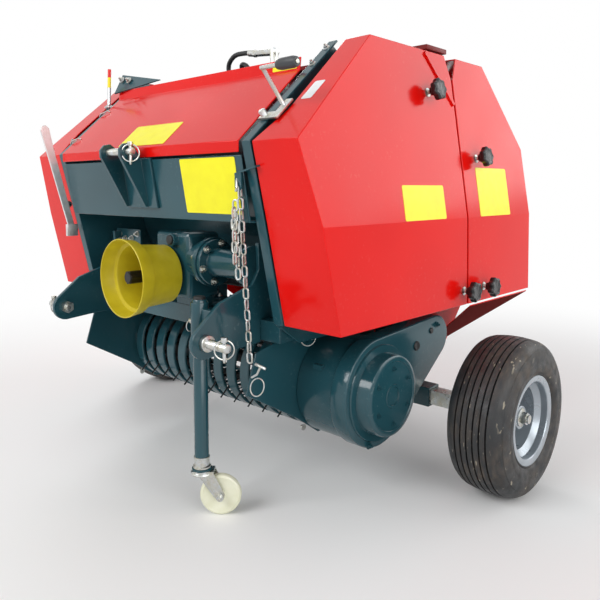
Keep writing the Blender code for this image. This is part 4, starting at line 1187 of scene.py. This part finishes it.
def frame_hardware():
    bolts, clips, brace = bmesh.new(), bmesh.new(), bmesh.new()
    for y, z in ((-0.4555, 0.737), (-0.4375, 0.662)):
        bolt_into(bolts, (-0.4168, y, z), (-1, 0, 0), 0.014)
    bolt_into(bolts, (-0.4168, -0.4560, 0.700), (-1, 0, 0), 0.011)
    for x, y in ((-0.4150, -0.4300), (-0.4150, -0.3000), (0.4150, -0.2600), (0.4150, -0.2100)):
        z = 0.886 + COVER_SLOPE * (y + 0.4735)
        bolt_into(bolts, Vector((x, y, z)) + COVER_SLOPE_OUT * 0.0028, COVER_SLOPE_OUT, 0.012)
    for side in (1, -1):
        for y, z in ((-0.3420, 0.625), (-0.3420, 0.500)):
            bolt_into(bolts, (side * 0.3178, y, z), (-side, 0, 0), 0.014)
        for y, z in ((-0.3900, 0.330), (-0.2200, 0.165), (0.0500, 0.380)):
            x = 0.3492 if side > 0 else -0.4003
            bolt_into(bolts, (x - (0.0002 if side > 0 else 0), y, z), (-1, 0, 0), 0.012)
    for x, z in ((-0.3250, 0.645), (-0.2950, 0.632), (-0.2600, 0.634), (-0.2300, 0.648)):
        bolt_into(bolts, (x, -0.3352, z), (0, -1, 0), 0.013)
    gusset = [(-0.3450, -0.3350, 0.6000), (-0.2150, -0.3350, 0.6150), (-0.2150, -0.3350, 0.6620),
              (-0.3450, -0.3350, 0.6620)]
    slab_into(brace, gusset, (0, 1, 0), 0.005)
    for x, y in ((-0.398, -0.4450), (-0.398, -0.3450)):
        start = slope_point(x, y, 0.001)
        inward = Vector((0.024 if x < 0 else -0.024, 0.010, 0.009))
        wire_into(clips, [start - inward * 0.3, start + SLOPE_OUT * 0.006, start + SLOPE_OUT * 0.006 + inward,
                          start + inward * 1.2], 0.0022, 8)
    corners = [(-0.404, -0.2960, 1.0860), (-0.185, -0.2740, 1.1080), (-0.404, -0.2640, 1.1480)]
    slab_into(brace, corners, (0, 0.9, -0.4), 0.004)
    first, second, third = (Vector(corner) for corner in corners)
    normal = (second - first).cross(third - first).normalized()
    for share_a, share_b in ((0.22, 0.62), (0.50, 0.45)):
        spot = first.lerp(second, share_a).lerp(third, share_b)
        bolt_into(bolts, spot + normal * 0.0045, normal, 0.014)
    piece("frame_bolts", bolts, "chassis", zinc)
    piece("lid_clips", clips, "chassis", zinc)
    piece("corner_brace", brace, "chassis", green_enamel)


frame_hardware()

# %% [markdown]
# ## Hydraulic hoses
# Two thin hoses leave the valve block on top and loop back under the lid. They are held at both
# ends, so each is one smooth tube along its route, with crimped zinc ferrules where it ends.

# %% Hoses
HOSE_R = 0.0065
HOSES = {
    "feed_hose": [
        (0.1575, -0.2085, 1.145), (0.120, -0.2085, 1.151), (0.075, -0.2065, 1.150), (0.045, -0.2025, 1.128),
        (0.048, -0.1965, 1.092), (0.085, -0.1905, 1.062), (0.130, -0.1845, 1.040), (0.170, -0.1585, 1.090),
    ],
    "return_hose": [
        (0.1755, -0.2005, 1.075), (0.158, -0.2005, 1.0755), (0.138, -0.2005, 1.092), (0.112, -0.1965, 1.120),
        (0.084, -0.1885, 1.126), (0.078, -0.1735, 1.100), (0.100, -0.1535, 1.085), (0.150, -0.1185, 1.092),
        (0.200, -0.0885, 1.098),
    ],
}


def smooth_route(points, steps=8):
    """Points along a Catmull-Rom curve through a route."""
    route = [Vector(p) for p in points]
    padded = [2 * route[0] - route[1]] + route + [2 * route[-1] - route[-2]]
    out = []
    for before, start, end, after in zip(padded, padded[1:], padded[2:], padded[3:]):
        for k in range(steps):
            t = k / steps
            square = (2 * before - 5 * start + 4 * end - after) * t * t
            cube = (3 * start - before - 3 * end + after) * t ** 3
            out.append(0.5 * (2 * start + (end - before) * t + square + cube))
    out.append(route[-1])
    return out


def hoses():
    ferrules = bmesh.new()
    for node, points in HOSES.items():
        route = smooth_route(points)
        tube = bmesh.new()
        wire_into(tube, route, HOSE_R, 14)
        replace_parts(piece(node + "_tube", tube, "chassis", hose_black), node)
        way = (route[1] - route[0]).normalized()
        crimp = [(HOSE_R, 0), (0.0088, 0), (0.0088, 0.003), (0.0080, 0.004), (0.0080, 0.007), (0.0088, 0.008),
                 (0.0088, 0.011), (0.0080, 0.012), (0.0080, 0.015), (0.0088, 0.016), (0.0088, 0.020),
                 (HOSE_R, 0.021)]
        turn_into(ferrules, crimp, route[0], way, 24, closed=True)
        rod_into(ferrules, route[0] - way * 0.010, route[0], 0.0100, 6)
    piece("hose_ferrules", ferrules, "chassis", zinc)


hoses()

# %% [markdown]
# ## Floor and light
# A pale floor fades into a white surround a little way from the machine, so any view has a clean
# background while the machine keeps its shadow. Large soft lamps stand in front, at the side and
# behind. They are plain and pale, so that the colours stay true.

# %% Floor, surround and lamps
FLOOR_R, FADE_FROM, FADE_TO = 9.0, 1.2, 3.0


def seen_directly(tree):
    """One for rays that carry the background's look, from the camera, a mirror or glass; else zero."""
    rays = add(tree, "ShaderNodeLightPath")
    seen = rays.outputs["Is Camera Ray"]
    for kind in ("Is Glossy Ray", "Is Transmission Ray"):
        seen = add(tree, "ShaderNodeMath", {0: seen, 1: rays.outputs[kind]}, operation="MAXIMUM").outputs[0]
    return seen


def floor_finish():
    finish, tree, shader, place = start_finish("pale_floor", roughness=0.6, specular_ior_level=0.2)
    shader.inputs["Base Color"].default_value = colour("#F3F3F3")
    bumped(tree, shader, noise(tree, place, 12, 2), 0.05, 0.2)
    distance = add(tree, "ShaderNodeVectorMath", {0: place}, operation="LENGTH").outputs["Value"]
    spread = {"Value": distance, "From Min": FADE_FROM, "From Max": FADE_TO}
    fade = add(tree, "ShaderNodeMapRange", spread, interpolation_type="SMOOTHSTEP").outputs["Result"]
    glow = add(tree, "ShaderNodeEmission", {"Color": (1, 1, 1, 1), "Strength": 1.0})
    amount = scaled(tree, fade, seen_directly(tree))
    mixed = add(tree, "ShaderNodeMixShader", {0: amount, 1: shader.outputs[0], 2: glow.outputs[0]})
    tree.links.new(mixed.outputs[0], tree.nodes["Material Output"].inputs["Surface"])
    return finish


def floor():
    drawn = bmesh.new()
    bmesh.ops.create_circle(drawn, cap_ends=True, segments=96, radius=FLOOR_R)
    obj = loose_object("floor", drawn)
    obj.data.materials.append(floor_finish())


def surround():
    world = bpy.data.worlds.new("surround")
    scene.world = world
    world.use_nodes = True
    tree = world.node_tree
    back = tree.nodes["Background"]
    back.inputs["Color"].default_value = (1, 1, 1, 1)
    lit = {"Value": seen_directly(tree), "To Min": WORLD_LIGHT, "To Max": 1.0}
    strength = add(tree, "ShaderNodeMapRange", lit)
    tree.links.new(strength.outputs["Result"], back.inputs["Strength"])


WORLD_LIGHT = 0.40
LAMPS = [  # (name, place, aim, width, height, watts)
    ("front", (-0.6, -4.2, 3.2), (0, 0, 0.6), 3.0, 2.0, 125),
    ("side", (4.6, -1.2, 1.9), (0.3, 0, 0.6), 3.4, 2.4, 78),
    ("right_rear", (3.6, 3.4, 2.4), (0.4, 0.1, 0.8), 4.6, 2.2, 70),
    ("left_rear", (-3.6, 2.4, 2.6), (0, 0, 0.6), 2.6, 2.0, 80),
]


def lamps():
    for name, place, aim, width, height, watts in LAMPS:
        data = bpy.data.lights.new(name, "AREA")
        data.shape = "RECTANGLE"
        data.size, data.size_y = width, height
        data.energy = watts
        lamp = bpy.data.objects.new(name, data)
        lamp.location = place
        lamp.rotation_euler = (Vector(place) - Vector(aim)).to_track_quat("Z", "Y").to_euler()
        lamp.visible_camera = False
        scene.collection.objects.link(lamp)


floor()
surround()
lamps()
